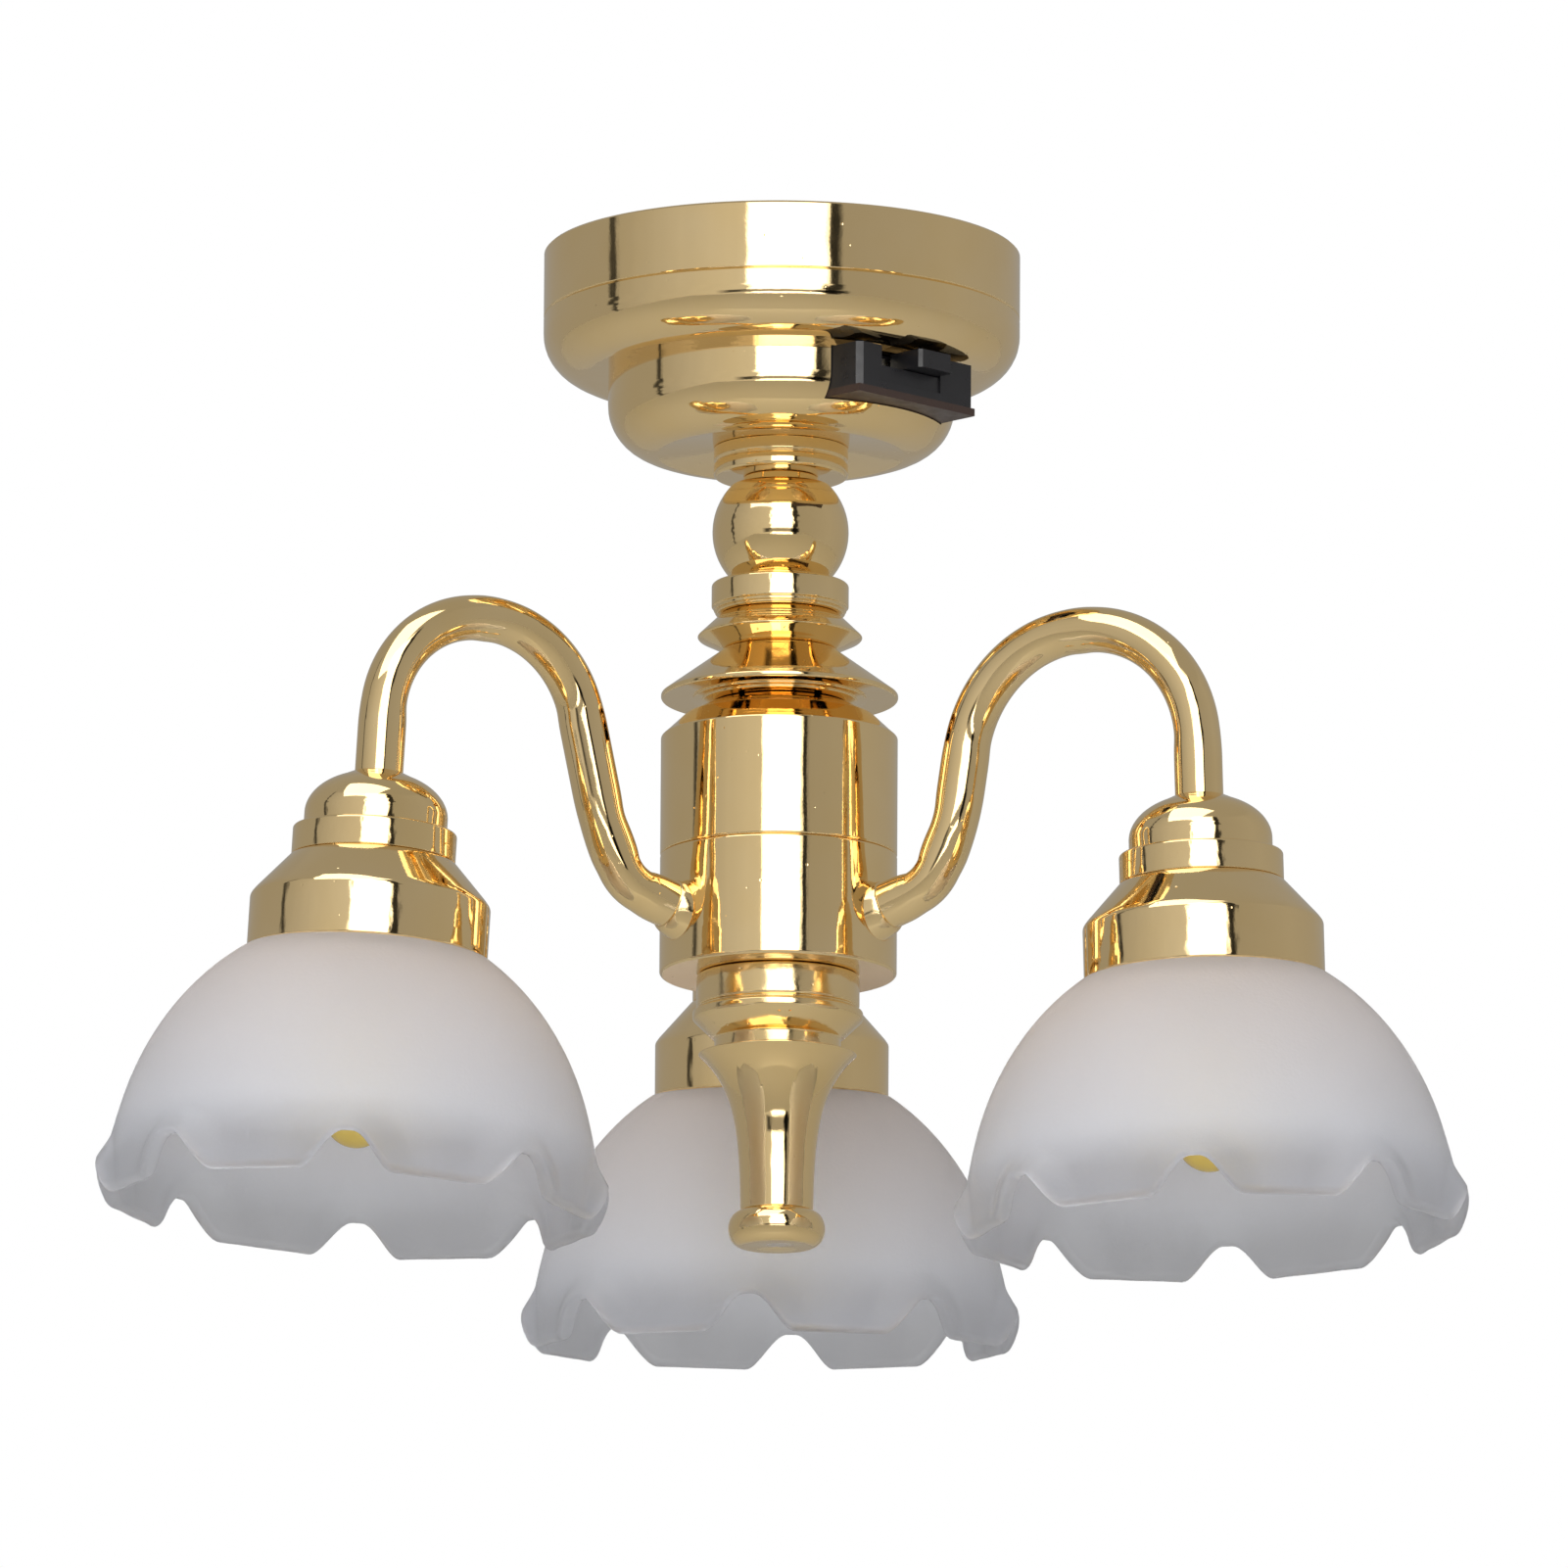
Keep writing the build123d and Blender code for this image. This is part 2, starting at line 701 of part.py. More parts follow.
# ---------------------------------------------------------------- finial
lip_top = hub_bottom - finial_band_height - 2 * edge_break
finial_neck = turned([
    (stud_radius + glue_gap, hub_bottom),
    (finial_neck_radius - edge_break, hub_bottom),
    (finial_neck_radius, hub_bottom - edge_break),
    (finial_neck_radius, hub_bottom - finial_band_height),
    (finial_neck_radius - edge_break, hub_bottom - finial_band_height - edge_break),
    (finial_lip_radius, lip_top),
    (finial_lip_radius, lip_top - finial_lip_height),
    (finial_waist_radius + edge_break, finial_top + finial_waist_height + edge_break),
    (finial_waist_radius, finial_top + finial_waist_height),
    (finial_waist_radius, finial_top),
    (stud_radius + glue_gap, finial_top),
])
save(finial_neck, "finial_neck")

stud_top = hub_floor_top - stud_end_gap
stud_bottom = stud_top - stud_length

with BuildPart() as finial:
    flare = finial_radius - finial_stem_radius
    with BuildSketch(Plane.XZ):
        with BuildLine():
            Polyline(
                (stud_radius + glue_gap, finial_top),
                (finial_waist_radius + edge_break, finial_top),
                (finial_radius, finial_top - edge_break))
            Spline(
                (finial_radius, finial_top - edge_break),
                (finial_stem_radius + 0.385 * flare, finial_top - 0.25 * finial_height),
                (finial_stem_radius + 0.09 * flare, finial_top - 0.62 * finial_height),
                (finial_stem_radius, tip_top),
                tangents=[(-0.85, -0.53), (0, -1)])
            Polyline(
                (finial_stem_radius, tip_top),
                (tip_spigot_radius + glue_gap, tip_top),
                (tip_spigot_radius + glue_gap, tip_top + tip_spigot_height + stud_end_gap),
                (0, tip_top + tip_spigot_height + stud_end_gap),
                (0, stud_bottom - stud_end_gap),
                (stud_radius + glue_gap, stud_bottom - stud_end_gap),
                (stud_radius + glue_gap, finial_top))
        make_face()
    revolve(axis=Axis.Z)
save(finial, "finial")

with BuildPart() as finial_tip:
    with BuildSketch(Plane.XZ):
        with BuildLine():
            Polyline(
                (0, tip_bottom),
                (0, tip_top + tip_spigot_height),
                (tip_spigot_radius, tip_top + tip_spigot_height),
                (tip_spigot_radius, tip_top),
                (finial_stem_radius - edge_break, tip_top))
            ThreePointArc(
                (finial_stem_radius - edge_break, tip_top),
                (tip_radius, tip_top - 0.52 * tip_height),
                (tip_radius - tip_flat, tip_bottom))
            Line((tip_radius - tip_flat, tip_bottom), (0, tip_bottom))
        make_face()
    revolve(axis=Axis.Z)
save(finial_tip, "finial_tip")

with BuildPart() as finial_stud:
    with BuildSketch(Plane.XY.offset(stud_bottom)):
        Circle(stud_radius)
    extrude(amount=stud_length)
save(finial_stud, "finial_stud")


# ---------------------------------------------------------------- arms
def bent(name, start_reach, end_depth, radius, bore_radius=0.0, lead=None):
    """A round bar or tube swept along an arm's centre line."""
    corners = arm_corners(name, start_reach, end_depth)
    arch = arch_radius(corners)
    bends = [first_bend_radius, second_bend_radius, arch, arch]
    if lead is not None:
        corners.insert(0, (lead, corners[0][1]))
        bends.insert(0, wire_lead_bend)
    bend_plane = arm_plane(name)
    route = [bend_plane.from_local_coords(Vector(*corner)) for corner in corners]
    with BuildPart() as piece:
        with BuildLine():
            path = FilletPolyline(*route, radius=bends)
        with BuildSketch(Plane(origin=path @ 0, z_dir=path % 0)):
            Circle(radius)
            if bore_radius > 0:
                Circle(bore_radius, mode=Mode.SUBTRACT)
        sweep()
    return piece


def ferrule(name):
    """The rounded collar that dresses an arm's joint with the hub."""
    round_end = ferrule_radius - arm_radius - glue_gap
    with BuildPart() as piece:
        plane = entry_plane(name)
        with BuildSketch(plane):
            with BuildLine():
                Polyline(
                    (ferrule_radius, ferrule_length - round_end),
                    (ferrule_radius, -ferrule_radius),
                    (arm_radius + glue_gap, -ferrule_radius),
                    (arm_radius + glue_gap, ferrule_length))
                RadiusArc(
                    (arm_radius + glue_gap, ferrule_length),
                    (ferrule_radius, ferrule_length - round_end),
                    round_end)
            make_face()
        revolve(axis=Axis(plane.origin, plane.y_dir))
        with Locations((0, 0, (hub_top + hub_bottom) / 2)):
            Cylinder(barrel_radius, 2 * hub_height, mode=Mode.SUBTRACT)
    return piece


def tip_plane(name):
    """Plane through an arm's tip: Y points back up the arm, so heights below the tip are negative."""
    lean = radians(arm_shapes[name][5])
    bend_plane = arm_plane(name)
    tip = bend_plane.from_local_coords(Vector(*arm_corners(name, arm_inner_reach, 0)[-1]))
    across = bend_plane.x_dir * cos(lean) + bend_plane.y_dir * sin(lean)
    return Plane(origin=tip, x_dir=across, z_dir=bend_plane.z_dir)


# ---------------------------------------------------------------- shade holders
holder_ring_top = -dome_height
holder_ring_bottom = holder_ring_top - holder_ring_height
cone_bottom = holder_ring_bottom - cup_cone_height
cup_bottom = cone_bottom - cup_height
holder_bore = holder_ring_radius - holder_ring_wall
cup_bore = cup_radius - cup_wall


def domed_cap(plane):
    """The domed cap and ring that slips over the arm's tip."""
    hole = arm_radius + glue_gap
    crown = 3 * edge_break
    dome_foot = -0.72 * dome_height
    with BuildPart() as piece:
        with BuildSketch(plane):
            with BuildLine():
                Line((hole, crown), (hole + crown, crown))
                ThreePointArc(
                    (hole + crown, crown),
                    (0.85 * dome_radius, -0.2 * dome_height),
                    (dome_radius, dome_foot))
                Polyline(
                    (dome_radius, dome_foot),
                    (dome_radius, holder_ring_top),
                    (holder_ring_radius - edge_break, holder_ring_top),
                    (holder_ring_radius, holder_ring_top - edge_break),
                    (holder_ring_radius, holder_ring_bottom),
                    (holder_bore, holder_ring_bottom),
                    (holder_bore, holder_ring_top + crown),
                    (hole, holder_ring_top + 2.5 * crown),
                    (hole, crown))
            make_face()
        revolve(axis=Axis(plane.origin, plane.y_dir))
    return piece


def shade_cup(plane):
    """The cone and cup that hold the shade's neck."""
    spigot = holder_bore - glue_gap
    return turned([
        (holder_ring_radius, holder_ring_bottom),
        (cup_radius - edge_break, cone_bottom + edge_break),
        (cup_radius, cone_bottom - edge_break),
        (cup_radius, cup_bottom),
        (cup_bore, cup_bottom),
        (cup_bore, cone_bottom - cup_wall),
        (spigot - cup_spigot_wall, holder_ring_bottom - cup_spigot_wall / 2),
        (spigot - cup_spigot_wall, holder_ring_bottom + cup_spigot_height),
        (spigot, holder_ring_bottom + cup_spigot_height),
        (spigot, holder_ring_bottom),
    ], plane)


# ---------------------------------------------------------------- shades
rim_height = cup_bottom - shade_height
curve_centre = rim_height + shade_skirt
shoulder = cup_bottom - glue_gap
shoulder_radius = cup_radius + shoulder_overhang
outer_end = acos(shoulder_radius / shade_radius)
outer_rise = (shoulder - curve_centre) / sin(outer_end)
inner_radius = shade_radius - shade_wall
inner_rise = outer_rise - shade_wall
neck_radius_outside = cup_bore - glue_gap
inner_neck = neck_radius_outside - shade_wall
inner_end = acos(inner_neck / inner_radius)
neck_top_height = cup_bottom + shade_neck_height
ridge_radius = crimp_opening_radius + crimp_wall
ridge_reach = shade_radius + crimp_reach


def wall_curve(radius, rise, end_angle):
    """A quarter-ellipse wall from its widest place up to end_angle, drawn as a spline."""
    steps = [end_angle * step / 5 for step in range(6)]
    points = [(radius * cos(t), curve_centre + rise * sin(t)) for t in steps]
    return Spline(*points, tangents=[(0, 1), (-radius * sin(end_angle), rise * cos(end_angle))])


def crimp_planes(name, plane):
    """Upright planes at the outer end of each pinched arch: Y up, Z outwards."""
    up = plane.y_dir
    rim_centre = plane.origin + up * rim_height
    front = (Vector(0, -1, 0) - up * Vector(0, -1, 0).dot(up)).normalized()
    side = up.cross(front)
    planes = []
    for step in range(crimp_count):
        angle = radians(crimp_turns[name] + step * 360 / crimp_count)
        outwards = front * cos(angle) + side * sin(angle)
        planes.append(Plane(
            origin=rim_centre + outwards * ridge_reach, x_dir=up.cross(outwards), z_dir=outwards))
    return planes


def shade(name):
    """A domed glass shade with a neck, and a rim pinched outwards into open arches."""
    plane = tip_plane(name)
    axis = Axis(plane.origin, plane.y_dir)
    planes = crimp_planes(name, plane)
    with BuildPart() as piece:
        # ridges over the arches
        with BuildSketch(*planes):
            with Locations((0, -crimp_centre_drop)):
                Circle(ridge_radius)
            with Locations((0, ridge_radius / 2)):
                Rectangle(2 * ridge_radius, ridge_radius, mode=Mode.INTERSECT)
        extrude(amount=-(ridge_reach - inner_radius - shade_wall / 2))
        # their outer ends lean in towards the rim
        with BuildSketch(plane):
            with BuildLine():
                Polyline(
                    (0, rim_height),
                    (shade_radius + crimp_foot_reach, rim_height),
                    (ridge_reach, rim_height + ridge_radius - crimp_centre_drop),
                    (0, rim_height + ridge_radius - crimp_centre_drop),
                    close=True)
            make_face()
        revolve(axis=axis, mode=Mode.INTERSECT)
        # the dome
        with BuildSketch(plane):
            with BuildLine():
                Polyline(
                    (inner_radius, curve_centre),
                    (inner_radius, rim_height),
                    (shade_radius, rim_height),
                    (shade_radius, curve_centre))
                wall_curve(shade_radius, outer_rise, outer_end)
                Polyline(
                    (shoulder_radius, shoulder),
                    (neck_radius_outside, shoulder),
                    (neck_radius_outside, neck_top_height),
                    (inner_neck, neck_top_height),
                    (inner_neck, curve_centre + inner_rise * sin(inner_end)))
                wall_curve(inner_radius, inner_rise, inner_end)
            make_face()
        revolve(axis=axis)
        # the arches
        with BuildSketch(*planes):
            with Locations((0, -crimp_centre_drop)):
                Circle(crimp_opening_radius)
        extrude(amount=-(ridge_reach - inner_radius + shade_wall), mode=Mode.SUBTRACT)
    return piece


# ---------------------------------------------------------------- lamps and wires
led_top = led_length - led_tip_drop


def led(plane):
    """A round LED with its flange, looking down."""
    with BuildPart() as piece:
        with BuildSketch(plane):
            with BuildLine():
                Line((0, led_top), (0, -led_tip_drop))
                RadiusArc((0, -led_tip_drop), (led_radius, -led_tip_drop + led_radius), -led_radius)
                Polyline(
                    (led_radius, -led_tip_drop + led_radius),
                    (led_radius, led_top - led_flange_height),
                    (led_flange_radius, led_top - led_flange_height),
                    (led_flange_radius, led_top),
                    (0, led_top))
            make_face()
        revolve(axis=Axis(plane.origin, plane.y_dir))
    return piece


def led_sleeve(plane):
    """The shrink sleeve over an LED's leads, from the arm's end to the LED."""
    return turned([
        (wire_radius + glue_gap, -arm_tip_depth),
        (sleeve_radius, -arm_tip_depth),
        (sleeve_radius, led_top),
        (wire_radius + glue_gap, led_top),
    ], plane)


for arm_name in arm_names:
    place = tip_plane(arm_name)
    save(bent(arm_name, arm_inner_reach, arm_tip_depth, arm_radius, arm_bore), f"arm_{arm_name}")
    save(ferrule(arm_name), f"arm_ferrule_{arm_name}")
    save(domed_cap(place), f"domed_cap_{arm_name}")
    save(shade_cup(place), f"shade_cup_{arm_name}")
    save(shade(arm_name), f"shade_{arm_name}")
    save(led(place), f"led_{arm_name}")
    save(led_sleeve(place), f"led_sleeve_{arm_name}")
    save(bent(arm_name, arm_inner_reach - wire_tail, -led_top, wire_radius, lead=splice_radius),
         f"arm_wires_{arm_name}")

splice_middle = entry_height + arm_corners("left", arm_inner_reach - wire_tail, 0)[0][1] + splice_rise
with BuildPart() as wire_splice:
    with BuildSketch(Plane.XY.offset(splice_middle - splice_height / 2)):
        Circle(splice_radius)
    extrude(amount=splice_height)
save(wire_splice, "wire_splice")

with BuildPart() as stem_wires:
    with BuildSketch(Plane.XY.offset(splice_middle + splice_height / 2)):
        with Locations((wire_radius, 0), (-wire_radius, 0)):
            Circle(wire_radius - glue_gap)
    extrude(amount=board_bottom - splice_middle - splice_height / 2)
save(stem_wires, "stem_wires")
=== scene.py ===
# %% [markdown]
# # A dolls' house ceiling light, one-twelfth scale
# Turned brass, plated with a thin layer of polished gold, carries three frosted glass
# shades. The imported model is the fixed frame. The outer radius and the ends of each
# turned piece on the stem are read from it. The smaller steps of their profiles, and the
# sizes of the arms, shade holders and shades, repeat the model's own values and are
# typed below, so they need changing here if the model changes. What the frame already
# shows well only gets a finish.

import json
from math import cos, radians, sin, tan

import bmesh
import bpy
import numpy as np
from mathutils import Matrix, Vector


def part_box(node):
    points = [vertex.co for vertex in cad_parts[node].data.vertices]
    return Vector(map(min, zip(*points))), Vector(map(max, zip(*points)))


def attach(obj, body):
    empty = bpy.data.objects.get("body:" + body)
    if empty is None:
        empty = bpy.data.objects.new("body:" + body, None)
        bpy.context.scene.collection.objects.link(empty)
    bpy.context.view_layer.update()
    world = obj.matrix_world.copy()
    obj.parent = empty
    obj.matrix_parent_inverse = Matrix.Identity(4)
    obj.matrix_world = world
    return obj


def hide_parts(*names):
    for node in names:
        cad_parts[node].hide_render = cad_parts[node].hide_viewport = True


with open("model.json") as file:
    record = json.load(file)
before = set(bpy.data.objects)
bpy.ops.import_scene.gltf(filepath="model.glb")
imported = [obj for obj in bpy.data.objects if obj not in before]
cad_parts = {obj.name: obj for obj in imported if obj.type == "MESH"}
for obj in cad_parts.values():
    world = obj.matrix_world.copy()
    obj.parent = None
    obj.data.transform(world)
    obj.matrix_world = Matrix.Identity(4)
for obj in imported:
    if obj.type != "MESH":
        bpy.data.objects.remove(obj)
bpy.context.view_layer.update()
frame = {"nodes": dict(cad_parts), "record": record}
nodes = frame["nodes"]
MM = 0.001
ARMS = ("left", "right", "rear")

# %% [markdown]
# A turned piece is as wide as its box, and stands between the box's lowest and highest
# point, so one small function reads all three.

# %% Read sizes from the frame
def turned_size(node):
    """Radius, top and bottom of a turned node, in millimetres."""
    low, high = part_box(node)
    return (high.x - low.x) / 2 / MM, high.z / MM, low.z / MM


hub_radius, hub_top, hub_bottom = turned_size("hub")
barrel_radius = turned_size("upper_barrel")[0]
print("barrel radius", round(barrel_radius, 2), "mm")


# %% [markdown]
# Every surface is a grid of points. A grid knows its rows and columns, so its faces are
# the squares between neighbours, found for the whole array at once. Rows and columns both
# run in a ring and are joined end to end, which closes the piece.

# %% Turn a grid of points into a mesh
def surface(name, grid, material):
    """A closed mesh on the lamp from a grid of points (rows, columns, 3) in metres."""
    rows, columns = grid.shape[:2]
    index = np.arange(rows * columns).reshape(rows, columns)
    below = np.roll(index, -1, 0)
    quads = np.stack([index, below, np.roll(below, -1, 1), np.roll(index, -1, 1)], -1)
    mesh = bpy.data.meshes.new(name)
    mesh.from_pydata(grid.reshape(-1, 3), [], quads.reshape(-1, 4))
    work = bmesh.new()
    work.from_mesh(mesh)
    bmesh.ops.remove_doubles(work, verts=work.verts, dist=1e-7)
    bmesh.ops.recalc_face_normals(work, faces=work.faces)
    work.to_mesh(mesh)
    work.free()
    mesh.shade_smooth()
    piece = bpy.data.objects.new(name, mesh)
    bpy.context.scene.collection.objects.link(piece)
    mesh.materials.append(material)
    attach(piece, "lamp")
    return piece


# %% [markdown]
# A lathe cuts a profile, and a polished edge is never quite sharp. Each corner of a
# profile is drawn as a short curve between points a little way along its two sides, so
# it catches a line of light as a polished edge does.

# %% Round the corners of a profile
def rounded(points, reach=0.08, steps=5):
    """A closed outline with each corner replaced by a quadratic curve: (1-s)^2 A + 2s(1-s) B + s^2 C."""
    corner = np.asarray(points, float)
    back = np.roll(corner, 1, 0) - corner
    ahead = np.roll(corner, -1, 0) - corner
    back_length = np.linalg.norm(back, axis=1, keepdims=True)
    ahead_length = np.linalg.norm(ahead, axis=1, keepdims=True)
    cut = np.minimum(reach, 0.45 * np.minimum(back_length, ahead_length))
    start = corner + back / back_length * cut
    end = corner + ahead / ahead_length * cut
    s = np.linspace(0, 1, steps)[None, :, None]
    curve = (1 - s) ** 2 * start[:, None] + 2 * s * (1 - s) * corner[:, None] + s**2 * end[:, None]
    return curve.reshape(-1, 2)


# %% [markdown]
# Turning the outline round an axis gives the piece. The axis of a shade holder leans with
# its arm, so the turn is made in a frame of its own: three directions and an origin.

# %% Turn a profile on a lathe
UPRIGHT = (np.zeros(3), np.eye(3))


def turn(outline, place=UPRIGHT, segments=160):
    """Points at (radius cos a, radius sin a, height) for each outline point and angle a, in metres."""
    angle = np.linspace(0, 2 * np.pi, segments, endpoint=False)
    radius, height = np.asarray(outline, float).T
    local = np.stack([radius[:, None] * np.cos(angle), radius[:, None] * np.sin(angle),
                      np.repeat(height[:, None], segments, 1)], -1)
    origin, axes = place
    return (origin + local @ axes) * MM


def even_shading(piece):
    """Flat faces keep flat shading up to their rounded edges."""
    even = piece.modifiers.new("even shading", "WEIGHTED_NORMAL")
    even.mode = "FACE_AREA"
    even.weight = 100
    return piece


# %% [markdown]
# ## Finishes
# Colours are written as sRGB hex values and turned to the linear values that a shader
# works in.

# %% Colours and nodes
def colour(code, alpha=1.0):
    """sRGB hex to linear: c/12.92 below 0.04045, else ((c + 0.055)/1.055)^2.4."""
    channels = np.array([int(code[i:i + 2], 16) for i in (0, 2, 4)]) / 255
    linear = np.where(channels <= 0.04045, channels / 12.92, ((channels + 0.055) / 1.055) ** 2.4)
    return (*linear.tolist(), alpha)


def add(tree, kind, inputs=None, **settings):
    """Adds a node, with its settings, and its inputs as values or links."""
    new = tree.nodes.new(kind)
    for name, value in settings.items():
        setattr(new, name, value)
    for name, value in (inputs or {}).items():
        target = new.inputs[name] if isinstance(name, int) else in_use(new.inputs, name)
        if isinstance(value, bpy.types.NodeSocket):
            tree.links.new(value, target)
        else:
            target.default_value = value
    return new


def in_use(sockets, name):
    """The socket of that name which the node uses; a Mix node has one of each name for each kind of data."""
    return next(socket for socket in sockets if socket.name == name and socket.enabled)


def finish(name):
    """An empty material: its tree, its shader and the object coordinates."""
    material = bpy.data.materials.new(name)
    material.use_nodes = True
    tree = material.node_tree
    place = add(tree, "ShaderNodeTexCoord").outputs["Object"]
    return material, tree, tree.nodes["Principled BSDF"], place


# %% [markdown]
# The metal is brass, polished and plated with a thin layer of gold. Gold plating is a
# mirror with a warm colour of its own, so it shows its surroundings; its surface is a
# little wavy from buffing, with a fine grain and a few pits. The spacings are estimates:
# about 1.5 mm between waves, 0.12 mm between grains and 0.9 mm between pits.

# %% Gold plating
def gold_plating(name, rough=0.03, waves=0.05, grain=0.03, pits=0.25):
    """Polished gold plating over brass."""
    material, tree, shader, place = finish(name)
    tint = add(tree, "ShaderNodeTexNoise", {"Vector": place, "Scale": 1 / (4 * MM), "Detail": 2.0})
    tone = add(tree, "ShaderNodeMix", {"Factor": tint.outputs["Fac"], "A": colour("F5D596"),
                                       "B": colour("F9DFAE")}, data_type="RGBA")
    tree.links.new(in_use(tone.outputs, "Result"), shader.inputs["Base Color"])
    shader.inputs["Metallic"].default_value = 1.0
    smear = add(tree, "ShaderNodeTexNoise", {"Vector": place, "Scale": 1 / (1.2 * MM), "Detail": 4.0})
    gloss = add(tree, "ShaderNodeMapRange", {"Value": smear.outputs["Fac"], "From Min": 0.35, "From Max": 0.7,
                                             "To Min": rough, "To Max": rough * 2.2})
    tree.links.new(in_use(gloss.outputs, "Result"), shader.inputs["Roughness"])
    wave = add(tree, "ShaderNodeTexNoise", {"Vector": place, "Scale": 1 / (1.5 * MM), "Detail": 1.0})
    swell = add(tree, "ShaderNodeBump", {"Height": wave.outputs["Fac"],
                                         "Strength": waves, "Distance": 0.2 * MM})
    fine = add(tree, "ShaderNodeTexNoise", {"Vector": place, "Scale": 1 / (0.12 * MM), "Detail": 2.0})
    peel = add(tree, "ShaderNodeBump", {"Height": fine.outputs["Fac"],
                                        "Strength": grain, "Distance": 0.02 * MM,
                                        "Normal": swell.outputs["Normal"]})
    pit = add(tree, "ShaderNodeTexVoronoi", {"Vector": place, "Scale": 1 / (0.9 * MM), "Randomness": 1.0})
    dot = add(tree, "ShaderNodeMapRange", {"Value": pit.outputs["Distance"],
                                           "From Min": 0.03, "From Max": 0.08})
    hole = add(tree, "ShaderNodeBump", {"Height": in_use(dot.outputs, "Result"),
                                        "Strength": pits, "Distance": 0.03 * MM,
                                        "Normal": peel.outputs["Normal"]})
    tree.links.new(hole.outputs["Normal"], shader.inputs["Normal"])
    return material


gold = gold_plating("polished gold plating on brass")
rough_gold = gold_plating("gold plating over a rough casting", rough=0.08, waves=0.35, grain=0.12, pits=0.8)
print("gold finishes made")

# %% [markdown]
# The shades are clear glass, tumbled or etched to a fine frost on both faces. Frost
# scatters the light that passes, so the shade glows softly instead of showing what is
# behind it. Its colour is painted warmer under the gold cup, a painted reflection of the
# gold's light, and cooler towards the rim; the rim is also clearer. The piece carries its
# own height above the rim, which the finish reads.

# %% Frosted glass
def frosted_glass():
    """Etched soda-lime glass, IOR 1.5."""
    material, tree, shader, place = finish("frosted glass")
    rise = add(tree, "ShaderNodeAttribute", attribute_name="rise").outputs["Fac"]
    # Painted reflection: the glass is tinted warm high up near the gold cup, for gold light reflected inside
    # it, and cool towards the rim.
    painted_gold_reflection = add(tree, "ShaderNodeMapRange", {"Value": rise, "From Min": 3.0, "From Max": 12.0})
    tone = add(tree, "ShaderNodeMix", {"Factor": in_use(painted_gold_reflection.outputs, "Result"), "A": colour("F3F5FB"),
                                       "B": colour("F6EFEC")}, data_type="RGBA")
    tree.links.new(in_use(tone.outputs, "Result"), shader.inputs["Base Color"])
    frost = add(tree, "ShaderNodeMapRange", {"Value": rise, "From Min": 0.2, "From Max": 3.0,
                                             "To Min": 0.42, "To Max": 0.62})
    tree.links.new(in_use(frost.outputs, "Result"), shader.inputs["Roughness"])
    shader.inputs["IOR"].default_value = 1.5
    clear = add(tree, "ShaderNodeMapRange", {"Value": rise, "From Min": 1.5, "From Max": 3.6,
                                             "To Min": 0.95, "To Max": 0.72})
    tree.links.new(clear.outputs[0], shader.inputs["Transmission Weight"])
    fine = add(tree, "ShaderNodeTexNoise", {"Vector": place, "Scale": 1 / (0.15 * MM), "Detail": 3.0})
    bump = add(tree, "ShaderNodeBump", {"Height": fine.outputs["Fac"],
                                        "Strength": 0.25, "Distance": 0.05 * MM})
    tree.links.new(bump.outputs["Normal"], shader.inputs["Normal"])
    return material


frosted = frosted_glass()
print("frosted glass made")


# %% [markdown]
# The rest are everyday materials: moulded black nylon and phenolic board in the switch,
# white moulded plastic, pressed steel, solder mask, foam, shrink sleeve, wire insulation
# and epoxy. Each gets a grain of its real size, and a variation that stops it looking new.

# %% Plain materials
def everyday(name, shade_a, shade_b, rough, metallic=0.0, grain_mm=0.2, grain=0.15, **sockets):
    """A material with a two-tone mottle and a fine surface grain."""
    material, tree, shader, place = finish(name)
    mottle = add(tree, "ShaderNodeTexNoise", {"Vector": place, "Scale": 1 / (6 * grain_mm * MM),
                                              "Detail": 5.0})
    tone = add(tree, "ShaderNodeMix", {"Factor": mottle.outputs["Fac"], "A": colour(shade_a),
                                       "B": colour(shade_b)}, data_type="RGBA")
    tree.links.new(in_use(tone.outputs, "Result"), shader.inputs["Base Color"])
    shader.inputs["Metallic"].default_value = metallic
    gloss = add(tree, "ShaderNodeMapRange", {"Value": mottle.outputs["Fac"], "From Min": 0.3, "From Max": 0.7,
                                             "To Min": rough * 0.8, "To Max": rough * 1.25})
    tree.links.new(in_use(gloss.outputs, "Result"), shader.inputs["Roughness"])
    fine = add(tree, "ShaderNodeTexNoise", {"Vector": place, "Scale": 1 / (grain_mm * MM), "Detail": 3.0})
    bump = add(tree, "ShaderNodeBump", {"Height": fine.outputs["Fac"], "Strength": grain,
                                        "Distance": 0.1 * grain_mm * MM})
    tree.links.new(bump.outputs["Normal"], shader.inputs["Normal"])
    for socket, value in sockets.items():
        shader.inputs[socket.replace("_", " ")].default_value = value
    return material


